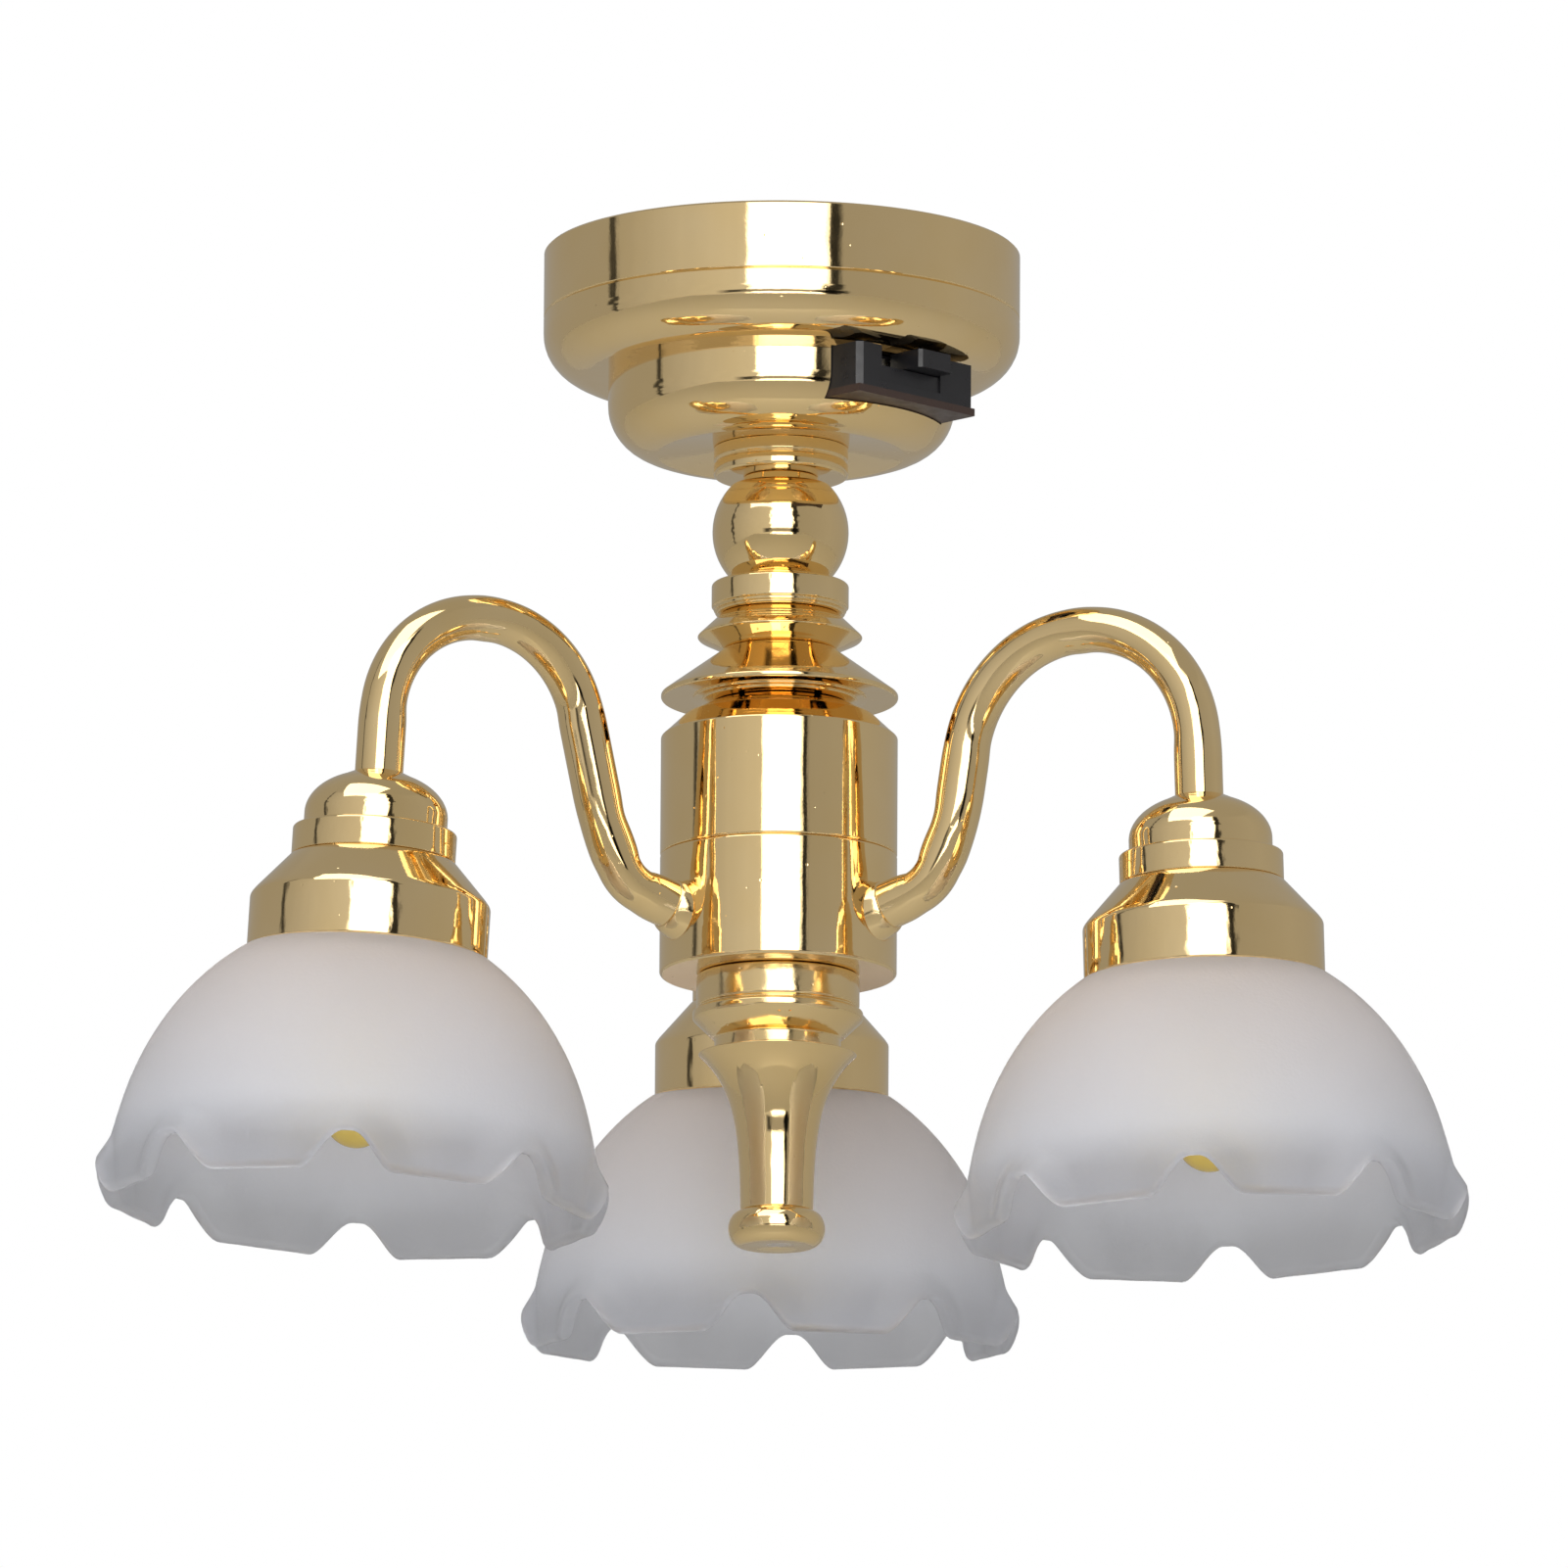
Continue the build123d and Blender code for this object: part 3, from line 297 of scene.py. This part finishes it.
finishes = {
    "foam_pad": everyday("closed-cell foam", "DEDEDA", "E8E8E4", 0.9, grain_mm=0.3, grain=0.8),
    "raw_brass": everyday("machined brass", "D3B162", "C7A252", 0.25, metallic=1.0, grain_mm=0.1),
    "cell_steel": everyday("pressed stainless steel", "B4B4B2", "C2C2C0", 0.28, metallic=1.0, grain_mm=0.08),
    "tray_plastic": everyday("moulded white ABS", "E6E3DA", "DFDCD2", 0.45),
    "contact_metal": everyday("nickel-plated spring strip", "C9C5BA", "BDB8AA", 0.25,
                              metallic=1.0, grain_mm=0.1),
    "switch_black": everyday("moulded black nylon", "17171A", "212125", 0.32, grain_mm=0.12, grain=0.3),
    "switch_brown": everyday("phenolic board", "33241E", "40302A", 0.4, grain_mm=0.15, grain=0.4),
    "board_green": everyday("solder mask on glass-fibre board", "17502B", "1C5C33", 0.3),
    "led_epoxy": everyday("epoxy over yellow phosphor", "E8C85A", "F2DA7C", 0.12, grain=0.05,
                          Transmission_Weight=0.35, IOR=1.54),
    "sleeve_black": everyday("polyolefin shrink sleeve", "121212", "1B1B1B", 0.5),
    "wire_enamel": everyday("red wire insulation", "8E1A14", "A0211A", 0.35, grain_mm=0.1),
    "gold_plating": gold,
    "frosted_glass": frosted,
}
slots = {part["node"]: part["material_slot"] for part in frame["record"]["subparts"]}
for node, slot in slots.items():
    nodes[node].data.materials.clear()
    nodes[node].data.materials.append(finishes[slot])
print(len(finishes), "finishes on", len(slots), "nodes")

# %% [markdown]
# ## Turned pieces
# The stem, barrel, hub and finial are all lathe work, and are turned again here with
# rounded edges. The canopy keeps its mesh from the frame. Fine grooves are cut into the
# profile, because a groove catches light where a drawn line would not.

# %% Stack of the stem
def lathe(node, outline, reach=0.06, material=gold, place=UPRIGHT, segments=160):
    """Turns an outline and puts it in the place of its CAD node."""
    grid = turn(rounded(outline, reach), place, segments)
    piece = even_shading(surface(f"{node}_turned", grid, material=material))
    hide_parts(node)


bore = 1.22
radius, top, bottom = turned_size("stem_collar")
middle = (top + bottom) / 2
lathe("stem_collar", [
    (bore, top), (radius, top), (radius, middle + 0.1), (radius - 0.12, middle), (radius, middle - 0.1),
    (radius, bottom + 0.1), (radius - 0.1, bottom), (bore, bottom)])

radius, top, bottom = turned_size("ring_collar")
lathe("ring_collar", [
    (bore, top), (radius - 0.1, top), (radius, top - 0.1), (radius, top - 1.1), (radius - 0.1, top - 1.15),
    (radius - 0.1, top - 1.28), (radius - 0.2, top - 1.3), (radius - 0.15, top - 1.36),
        (radius - 0.22, bottom),
    (bore, bottom)])

radius, top, bottom = turned_size("small_saucer")
lathe("small_saucer", [
    (bore, top), (2.71, top), (radius - 0.05, bottom + 0.7),
        (radius, bottom + 0.64), (radius - 0.06, bottom + 0.56),
    (2.55, bottom), (bore, bottom)])

radius, top, bottom = turned_size("large_saucer")
lathe("large_saucer", [
    (bore, top), (2.65, top), (2.78, top - 0.12), (radius - 0.1, bottom + 0.5), (radius, bottom + 0.43),
    (radius, bottom + 0.28), (radius - 0.06, bottom + 0.21), (4.0, bottom + 0.3), (4.0, bottom + 0.2),
    (3.6, bottom + 0.2), (3.6, bottom + 0.1), (3.1, bottom), (bore, bottom)])
print("stem turned")

# %% [markdown]
# The ball knop is a short neck, a ball and a foot turned in one. Its ball is an arc from
# the crown to the foot, sampled finely, because a mirror ball shows every flat.

# %% Ball knop
radius, top, bottom = turned_size("ball_knop")
ball_top = top - 0.42
centre = ball_top - np.sqrt(radius**2 - 2.27**2)
ball_bottom = centre - np.sqrt(radius**2 - 2.2**2)
sweep = np.linspace(np.arcsin((ball_top - centre) / radius), np.arcsin((ball_bottom - centre) / radius), 60)
ball = np.stack([radius * np.cos(sweep), centre + radius * np.sin(sweep)], 1)
outline = np.vstack([[(bore, top), (1.72, top), (1.72, ball_top)], ball, [(2.2, bottom), (bore, bottom)]])
knop = even_shading(surface("ball_knop_turned", turn(rounded(outline, 0.05, 3)), material=gold))
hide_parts("ball_knop")
print("ball radius", round(radius, 2), "mm")

# %% [markdown]
# The barrel has a sloping shoulder, and meets the hub in a fine seam. Both are straight
# cylinders, where the light stands in long upright stripes. The hub's wall is left whole:
# the arms pass through it, and the solder collars hide where.

# %% Barrel and hub
radius, top, bottom = turned_size("upper_barrel")
lathe("upper_barrel", [
    (bore, top), (3.1, top), (radius - 1.05, top - 0.64), (radius - 0.26, top - 1.39), (radius, top - 1.62),
    (radius, bottom + 0.07), (radius - 0.07, bottom), (radius - 1.0, bottom), (radius - 1.0, bottom + 4.5),
    (bore, bottom + 4.5)], segments=220)
lathe("hub", [
    (3.6, hub_top), (hub_radius - 1.02, hub_top), (hub_radius - 1.02, hub_top - 1.3),
    (hub_radius - 0.07, hub_top - 1.3), (hub_radius, hub_top - 1.37), (hub_radius, hub_bottom + 0.1),
    (hub_radius - 0.1, hub_bottom), (1.02, hub_bottom), (1.02, hub_bottom + 1.0), (3.6, hub_bottom + 1.0)],
    segments=220)
print("barrel and hub turned")

# %% [markdown]
# The finial's neck has a blobby skin under the plating, as a rough casting would; how the
# real one is made is a guess. The flare below it is a smooth curve from the wide lip down to the
# slim stem, and it ends in a small rounded tip.

# %% Finial
radius, top, bottom = turned_size("finial_neck")
lip = top - 1.7
lathe("finial_neck", [
    (1.02, top), (3.65, top), (3.75, top - 0.1), (3.75, lip + 0.25), (3.62, lip + 0.12), (radius, lip),
    (radius, lip - 0.35), (3.05, bottom + 0.7), (2.9, bottom + 0.6), (2.9, bottom), (1.02, bottom)],
    reach=0.1, material=rough_gold)

radius, top, bottom = turned_size("finial")
stem = 1.68
t = np.linspace(0, 1, 60)
flare = (radius - stem) * np.exp(-4.2 * t) * (1 - t**3)
trumpet = np.stack([stem + flare, top - 0.1 - (top - 0.1 - bottom) * t], 1)
outline = np.vstack([
    [(1.02, top), (radius - 0.6, top)], trumpet,
    [(0.9, bottom), (0.9, bottom + 1.4), (1.02, bottom + 1.4)]])
finial = even_shading(surface("finial_turned", turn(rounded(outline, 0.06, 3)), material=gold))
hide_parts("finial")

radius, top, bottom = turned_size("finial_tip")
shoulder = bottom + 1.65
a = np.linspace(0, np.pi, 24)
bead = np.stack([1.6 + (radius - 1.6) * np.sin(a), shoulder - (shoulder - bottom) * (1 - np.cos(a)) / 2], 1)
outline = np.vstack([[(0.02, top), (0.8, top), (0.8, shoulder)], bead, [(0.02, bottom)]])
tip = even_shading(surface("finial_tip_turned", turn(rounded(outline, 0.04, 3)), material=gold))
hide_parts("finial_tip")
print("finial turned")

# %% [markdown]
# ## Arms
# Each arm is a brass tube bent by hand round a peg, so no two are quite alike. Its centre
# line is straight between its corners and a true arc at each, and it lies in one plane.

# %% Centre line of an arm
ENTRY = hub_bottom + 3.3  # height where the arms enter the hub
INSIDE_HUB = 3.45         # where the tube starts, from the stem's axis
FIRST_BEND = (2.65, 0.15)  # out from the hub's wall, and up from the entry
SECOND_BEND = (3.95, 3.0)
FIRST_SLOPE = 0.31
FIRST_RADIUS, SECOND_RADIUS = 2.2, 6.0
TUBE_RADIUS, TUBE_BORE = 1.1, 0.65
TIP_DEPTH = 1.5           # how far the tube runs into its domed cap
ARCH_SHARE = 0.97         # of the largest radius that both corners of the arch can share
FLATTEN = 0.1             # how much a bend squeezes the tube
TIGHT_BEND = 0.3          # curvature per mm at which the squeeze is full
BENDS = {  # azimuth, inner leg, tip, rise of the top, rise of the tip, lean, roll
    "left": (210.0, 6.15, 15.65, 11.65, 3.6, 2.7, -1.6),
    "right": (330.0, 5.35, 16.65, 11.25, 2.65, 1.5, 0.9),
    "rear": (90.7, 5.85, 16.05, 11.65, 3.55, 5.5, 0.0),
}


def arm_axes(name):
    """Unit vectors of an arm's plane, outwards and upwards, and the normal to it."""
    azimuth, roll = radians(BENDS[name][0]), radians(BENDS[name][6])
    reach = np.array([cos(azimuth), sin(azimuth), 0.0])
    side = np.cross(reach, [0, 0, 1.0])
    up = np.array([0, 0, 1.0]) * cos(roll) + side * sin(roll)
    return reach, up, np.cross(reach, up)


def arm_corners(name, end_drop):
    """Corners of the centre line, in its plane, from inside the hub to end_drop below the tip."""
    inner, tip, top, tip_rise, lean = BENDS[name][1:6]
    slant = tan(radians(lean))
    far = barrel_radius + tip
    return np.array([
        (INSIDE_HUB, FIRST_BEND[1] - (barrel_radius + FIRST_BEND[0] - INSIDE_HUB) * FIRST_SLOPE),
        (barrel_radius + FIRST_BEND[0], FIRST_BEND[1]),
        (barrel_radius + SECOND_BEND[0], SECOND_BEND[1]),
        (barrel_radius + inner, top),
        (far - (top - tip_rise) * slant, top),
        (far + end_drop * slant, tip_rise - end_drop)])


def bent_path(corners, radii, step=0.18):
    """Straight runs joined by arcs of the given radii, each tangent to both runs beside its corner."""
    run = np.diff(corners, axis=0)
    run /= np.linalg.norm(run, axis=1, keepdims=True)
    path = [corners[:1]]
    for corner, before, after, radius in zip(corners[1:-1], run, run[1:], radii):
        turn_by = np.arccos(np.clip(before @ after, -1, 1))
        reach = radius * tan(turn_by / 2)
        side = np.sign(before[0] * after[1] - before[1] * after[0])
        normal = side * np.array([-before[1], before[0]])
        angle = np.linspace(0, turn_by, max(8, int(radius * turn_by / step)))[:, None]
        start = corner - before * reach
        path.append(start + radius * (np.sin(angle) * before + (1 - np.cos(angle)) * normal))
    path.append(corners[-1:])
    return np.vstack(path)


def resampled(path, step=0.12):
    """The same path with points at even distances along it."""
    length = np.concatenate([[0], np.cumsum(np.linalg.norm(np.diff(path, axis=0), axis=1))])
    even = np.linspace(0, length[-1], int(length[-1] / step))
    return np.stack([np.interp(even, length, path[:, i]) for i in (0, 1)], 1), even


def arm_path(name):
    """The arm's centre line in its plane, with its distances."""
    corners = arm_corners(name, TIP_DEPTH)
    inner, start, end, tip = corners[2:6]
    legs = [start - inner, end - start, tip - end]
    legs = [leg / np.linalg.norm(leg) for leg in legs]
    half_turns = sum(tan(np.arccos(a @ b) / 2) for a, b in zip(legs, legs[1:]))
    arch = ARCH_SHARE * np.linalg.norm(end - start) / half_turns
    return resampled(bent_path(corners, [FIRST_RADIUS, SECOND_RADIUS, arch, arch]))


# %% [markdown]
# A bent tube flattens a little on its bends, and its outside stretches. The tube is a
# circle carried along the path, squeezed across the bend by up to a tenth.

# %% Bend the arms
def arm(name):
    """Tube: path(s) + r (squeeze cos a n + sin a b), outside then inside, closed at both ends."""
    path, distance = arm_path(name)
    tangent = np.gradient(path, distance, axis=0)
    tangent /= np.linalg.norm(tangent, axis=1, keepdims=True)
    heading = np.unwrap(np.arctan2(tangent[:, 1], tangent[:, 0]))
    curve = np.abs(np.gradient(heading, distance))
    spread = np.hanning(15) / np.hanning(15).sum()
    curve = np.convolve(np.pad(curve, 7, "edge"), spread, "valid")
    squeeze = 1 - FLATTEN * np.clip(curve / TIGHT_BEND, 0, 1)
    reach, up, side = arm_axes(name)
    centre = np.array([0, 0, ENTRY]) + path[:, :1] * reach + path[:, 1:] * up
    across = -tangent[:, 1:] * reach + tangent[:, :1] * up
    angle = np.linspace(0, 2 * np.pi, 64, endpoint=False)[None, :, None]
    skins = []
    for radius, order in ((TUBE_RADIUS, 1), (TUBE_BORE, -1)):
        ring = centre[:, None] + radius * (
            squeeze[:, None, None] * np.cos(angle) * across[:, None] + np.sin(angle) * side)
        skins.append(ring[::order])
    piece = surface(f"arm_{name}_bent", np.vstack(skins) * MM, material=gold)
    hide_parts(f"arm_{name}")
    return piece


for name in ARMS:
    arm(name)
print("arms bent")


# %% [markdown]
# Where an arm enters the hub it is soldered, and the fillet of solder is plated over with
# the rest. It is a ring with a soft, uneven face, wider where the solder pooled.

# %% Solder collars
COLLAR_WALL, COLLAR_INSIDE, COLLAR_LENGTH, COLLAR_OVERLAP = 0.34, 0.5, 0.93, 0.01


def collar(name):
    """A ring round the arm: radius 1.1 + w(v) (1 + small sines of the angle), v along the arm."""
    reach, up, side = arm_axes(name)
    corners = arm_corners(name, 0)[:2]
    slope = corners[1] - corners[0]
    slope /= np.linalg.norm(slope)
    entry = corners[0] + slope * (barrel_radius - corners[0][0]) / slope[0]
    along = slope[0] * reach + slope[1] * up
    across = -slope[1] * reach + slope[0] * up
    v = np.linspace(0, np.pi, 28)[:, None, None]
    angle = np.linspace(0, 2 * np.pi, 72, endpoint=False)[None, :, None]
    lumps = 1 + 0.03 * np.sin(3 * angle + 0.7) + 0.02 * np.sin(5 * angle + 2.1)
    height = -COLLAR_INSIDE + COLLAR_LENGTH * (1 - np.cos(v)) / 2
    radius = TUBE_RADIUS + COLLAR_WALL * np.sin(v / 2 + np.pi / 2) * lumps
    start = entry_point(entry, reach, up)
    ring = np.cos(angle) * across + np.sin(angle) * side
    skin = start + height * along + radius * ring
    bore = start + height[::-1] * along + (TUBE_RADIUS - COLLAR_OVERLAP) * ring
    piece = surface(f"arm_collar_{name}", np.vstack([skin, bore]) * MM, material=rough_gold)
    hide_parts(f"arm_ferrule_{name}")
    return piece


def entry_point(entry, reach, up):
    """A point of the arm's plane in the part's frame."""
    return np.array([0, 0, ENTRY]) + entry[0] * reach + entry[1] * up


for name in ARMS:
    collar(name)
print("collars soldered")

# %% [markdown]
# ## Shade holders
# A dome, a ring, a cone and a cup hang from the tip of each arm and lean with it. They are
# turned in two pieces and plated together.

# %% Shade holders
def tip_place(name):
    """The tip's origin, and the axes of its own frame: across, side and up along the arm."""
    reach, up, side = arm_axes(name)
    lean = radians(BENDS[name][5])
    far, rise = arm_corners(name, 0)[-1]
    origin = entry_point((far, rise), reach, up)
    across = reach * cos(lean) + up * sin(lean)
    along = -reach * sin(lean) + up * cos(lean)
    return origin, np.stack([across, np.cross(along, across), along])


def holder(name):
    """Domed cap and ring, then cone and cup."""
    place = tip_place(name)
    a = np.linspace(0.32, 1.0, 30) * np.pi / 2
    top = np.stack([0.95 * 3.27 * np.sin(a) + 0.05 * 3.27, 0.3 - 2.03 * (1 - np.cos(a)) * 1.0], 1)
    top[:, 0] = np.minimum(top[:, 0], 3.27)
    cap = np.vstack([[(1.12, 0.3)], top, [(3.27, -2.4), (3.66, -2.4), (3.74, -2.48), (3.74, -3.75),
                                          (2.74, -3.75),
                     (2.74, -2.1), (1.12, -1.65)]])
    lathe(f"domed_cap_{name}", cap, reach=0.06, place=place)
    lathe(f"shade_cup_{name}", [
        (2.72, -3.75), (3.74, -3.75), (5.3, -5.5), (5.48, -5.75), (5.48, -8.25), (4.98, -8.25), (4.98, -6.15),
        (2.32, -3.95), (2.32, -3.15), (2.72, -3.15)], reach=0.12, place=place)


for name in ARMS:
    holder(name)
print("holders turned")

# %% [markdown]
# ## Glass shades
# A shade can be blown into a mould, then its soft rim pinched outwards at eight places, so
# the rim waves: each pinch is a small arch under a ridge. The wall is one surface, outside,
# round lip and inside, and the ridge is a smooth swelling of both faces.

# %% Blow a shade
FIRST_PINCH = {"left": 0.0, "right": -5.0, "rear": -5.0}
RIM, WIDEST, SHOULDER, NECK = -20.15, -19.25, -8.27, -6.35  # heights below the arm's tip
SHADE_RADIUS, SHADE_WALL, SHADE_RISE = 11.1, 0.8, 12.76
NECK_RADIUS, SHOULDER_RADIUS = 4.96, 5.66
LIP = SHADE_WALL / 2
PINCH_RADIUS = 11.3        # where the distance round from a pinch is measured
RIM_LIFT = 1.7             # rise of the rim's middle at a pinch
LIFT_FLAT, LIFT_SPREAD = 0.2, 2.0
RIDGE_FLAT, RIDGE_SPREAD = 0.9, 2.5
PUSH_LOW, PUSH_HIGH = 0.5, 0.8  # outward swelling of the ridge, at the rim and added above


def smooth(x):
    """3x^2 - 2x^3 between 0 and 1."""
    x = np.clip(x, 0, 1)
    return x * x * (3 - 2 * x)


def shade(name):
    """Dome r = R cos t, h = c + K sin t, with the rim lifted and pushed out round each pinch."""
    origin, axes = tip_place(name)
    front = np.array([0, -1.0, 0]) - axes[2] * -axes[2][1]
    front /= np.linalg.norm(front)
    side = np.cross(axes[2], front)
    angle = np.linspace(0, 2 * np.pi, 480, endpoint=False)[None, :]
    pinch = np.radians(FIRST_PINCH[name])
    from_pinch = (np.mod(angle - pinch + np.pi / 8, np.pi / 4) - np.pi / 8) * PINCH_RADIUS

    def wall(radius, rise, neck, top):
        """Radius and height of one face from the neck down to the rim."""
        end = np.arccos(min(1.0, neck / radius))
        t = np.linspace(end, 0, 70)
        dome = np.stack([radius * np.cos(t), WIDEST + rise * np.sin(t)], 1)
        skirt = np.stack([np.full(12, radius), np.linspace(WIDEST, RIM + 0.36, 13)[1:]], 1)
        return np.vstack([top, dome, skirt])

    inner_neck = NECK_RADIUS - SHADE_WALL
    outside = wall(SHADE_RADIUS, SHADE_RISE, SHOULDER_RADIUS, [
        (inner_neck, NECK), (NECK_RADIUS, NECK), (NECK_RADIUS, SHOULDER), (5.5, SHOULDER)])
    inside = wall(SHADE_RADIUS - SHADE_WALL, SHADE_RISE - SHADE_WALL, inner_neck, [(inner_neck, NECK)])[::-1]
    a = np.linspace(0, np.pi, 12)[1:-1]
    lip = np.stack([SHADE_RADIUS - LIP + LIP * np.cos(a), RIM + LIP - LIP * np.sin(a)], 1)
    profile = np.vstack([outside, lip, inside[:-1]])
    radius, height = profile[:, :1], profile[:, 1:]
    above = height - RIM
    lift = RIM_LIFT * (1 - smooth((np.abs(from_pinch) - LIFT_FLAT) / LIFT_SPREAD))
    fade = 1 - smooth((above - 0.5) / 4.5)
    height = height + lift * fade * np.clip(1 - above / 6, 0, 1)
    high = height - RIM
    distance = np.sqrt(from_pinch**2 + (high + 0.3)**2)
    ridge = 1 - smooth((distance - RIDGE_FLAT) / RIDGE_SPREAD)
    push = (PUSH_LOW + PUSH_HIGH * smooth(high / 2.6)) * ridge
    radius = radius + push
    local = (radius * np.cos(angle))[..., None] * front + (radius * np.sin(angle))[..., None] * side
    points = origin + local + height[..., None] * axes[2]
    piece = surface(f"shade_{name}_pinched", points * MM, material=frosted)
    co = np.empty(len(piece.data.vertices) * 3)
    piece.data.vertices.foreach_get("co", co)
    rise = (co.reshape(-1, 3) / MM - origin) @ axes[2] - RIM
    piece.data.attributes.new("rise", "FLOAT", "POINT").data.foreach_set("value", rise)
    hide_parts(f"shade_{name}")
    return piece


for name in ARMS:
    shade(name)
print("shades blown")

# %% [markdown]
# ## Room
# The light hangs in a plain studio. Polished metal is only as good as what it reflects, so
# the room is drawn in directions round the lamp: a broad soft window in front, a dark gap
# beside it, and pale walls. Only the camera's own view of the background is left plain
# white, so the pale backdrop stays even; the room lights the lamp all the same.

# %% Studio
def studio():
    """A procedural room from azimuth atan2(x, -y) and elevation asin(z)."""
    world = bpy.data.worlds.new("studio")
    bpy.context.scene.world = world
    world.use_nodes = True
    tree = world.node_tree
    tree.nodes.clear()
    way = add(tree, "ShaderNodeTexCoord").outputs["Generated"]
    split = add(tree, "ShaderNodeSeparateXYZ", {"Vector": way})
    toward = add(tree, "ShaderNodeMath", {0: split.outputs["Y"], 1: -1.0}, operation="MULTIPLY").outputs[0]
    turn_by = add(tree, "ShaderNodeMath", {0: split.outputs["X"], 1: toward}, operation="ARCTAN2").outputs[0]
    rise = add(tree, "ShaderNodeMath", {0: split.outputs["Z"]}, operation="ARCSINE").outputs[0]
    ragged = add(tree, "ShaderNodeTexNoise", {"Vector": way, "Scale": 9.0, "Detail": 3.0}).outputs["Fac"]
    edge = add(tree, "ShaderNodeMath", {0: ragged, 1: 0.5}, operation="SUBTRACT").outputs[0]
    shifted = add(tree, "ShaderNodeMath", {0: edge, 1: 0.25, 2: turn_by}, operation="MULTIPLY_ADD").outputs[0]
    round_room = add(tree, "ShaderNodeMapRange", {"Value": shifted,
                                                  "From Min": -np.pi, "From Max": np.pi}).outputs[0]
    ramp = add(tree, "ShaderNodeValToRGB", {"Fac": round_room})
    stops = [(-180, 0.34), (-91, 0.36), (-89.5, 0.05), (-86.5, 0.05), (-85, 0.4), (-56, 0.52), (-18, 0.66),
             (-15.5, 3.2), (20.5, 3.2), (21.5, 0.03), (29, 0.03), (30.5, 0.36), (90, 0.4), (180, 0.34)]
    band = ramp.color_ramp
    while len(band.elements) < len(stops):
        band.elements.new(0.5)
    for element, (degrees, level) in zip(band.elements, stops):
        element.position = degrees / 360 + 0.5
        element.color = (level, level * 0.985, level * 0.96, 1.0)
    low = add(tree, "ShaderNodeMapRange", {"Value": rise, "From Min": radians(-38), "From Max": radians(-34)})
    high = add(tree, "ShaderNodeMapRange", {"Value": rise, "From Min": radians(48), "From Max": radians(43)})
    between = add(tree, "ShaderNodeMath", {0: low.outputs[0], 1: high.outputs[0]}, operation="MULTIPLY")
    room = add(tree, "ShaderNodeMix", {"Factor": between.outputs[0], "A": (0.36, 0.355, 0.345, 1.0),
                                       "B": ramp.outputs["Color"]}, data_type="RGBA")
    off_horizon = add(tree, "ShaderNodeMath", {0: rise, 1: radians(-7)}, operation="SUBTRACT")
    near_horizon = add(tree, "ShaderNodeMath", {0: off_horizon.outputs[0]}, operation="ABSOLUTE")
    dark = add(tree, "ShaderNodeMapRange", {"Value": near_horizon.outputs[0], "From Min": radians(2.5),
                                            "From Max": radians(4), "To Min": 0.12, "To Max": 1.0})
    off_axis = add(tree, "ShaderNodeMath", {0: turn_by}, operation="ABSOLUTE").outputs[0]
    behind = add(tree, "ShaderNodeMapRange", {"Value": off_axis,
                                              "From Min": radians(24), "From Max": radians(32)})
    dark = add(tree, "ShaderNodeMath", {0: dark.outputs[0], 1: behind.outputs[0]}, operation="MAXIMUM")
    crossed = add(tree, "ShaderNodeMix", {"Factor": 1.0, "A": in_use(room.outputs, "Result"),
                                          "B": dark.outputs[0]}, data_type="RGBA", blend_type="MULTIPLY")
    seen = add(tree, "ShaderNodeLightPath").outputs["Is Camera Ray"]
    final = add(tree, "ShaderNodeMix", {"Factor": seen, "A": in_use(crossed.outputs, "Result"),
                                        "B": (1.0, 1.0, 1.0, 1.0)}, data_type="RGBA")
    background = add(tree, "ShaderNodeBackground", {"Color": in_use(final.outputs, "Result")})
    add(tree, "ShaderNodeOutputWorld", {"Surface": background.outputs[0]})


studio()
bpy.ops.mesh.primitive_plane_add(size=3, location=(0, 0, -0.4))
floor = bpy.context.object
floor.name = "studio_floor"
paper = everyday("matt white studio paper", "DAD9D5", "DEDDD9", 0.9, grain_mm=2.0, grain=0.1)
floor.data.materials.append(paper)
print("studio ready")

# %% [markdown]
# One soft light above, in front and to the left shapes the lamp. A second, low one stands
# for light from the floor and brightens the glass from below. The view shows colours as
# they are.

# %% Light, camera and view
lamp_data = bpy.data.lights.new("soft light", "AREA")
lamp_data.energy = 1.5
lamp_data.size = 0.5
soft = bpy.data.objects.new("soft light", lamp_data)
soft.location = (-0.15, -0.25, 0.45)
soft.rotation_euler = (Vector((0, 0, -0.03)) - soft.location).to_track_quat("-Z", "Y").to_euler()
bpy.context.scene.collection.objects.link(soft)

bounce_data = bpy.data.lights.new("bounce from the floor", "AREA")
bounce_data.energy = 0.9
bounce_data.size = 0.4
bounce = bpy.data.objects.new("bounce from the floor", bounce_data)
bounce.location = (0.0, -0.3, -0.36)
bounce.rotation_euler = (Vector((0, 0, -0.05)) - bounce.location).to_track_quat("-Z", "Y").to_euler()
bounce.visible_glossy = False
bpy.context.scene.collection.objects.link(bounce)

camera_data = bpy.data.cameras.new("camera")
camera_data.lens = 499.2
camera_data.sensor_width = 36
camera_data.clip_end = 20
camera = bpy.data.objects.new("camera", camera_data)
bpy.context.scene.collection.objects.link(camera)
camera.matrix_world = (Matrix.Translation((0.000225, -0.9789, -0.2300))
                       @ Matrix.Rotation(radians(90 + 11.8), 4, "X") @ Matrix.Rotation(radians(0.33), 4, "Z"))
bpy.context.scene.camera = camera
bpy.context.scene.view_settings.view_transform = "Standard"
print("camera set")
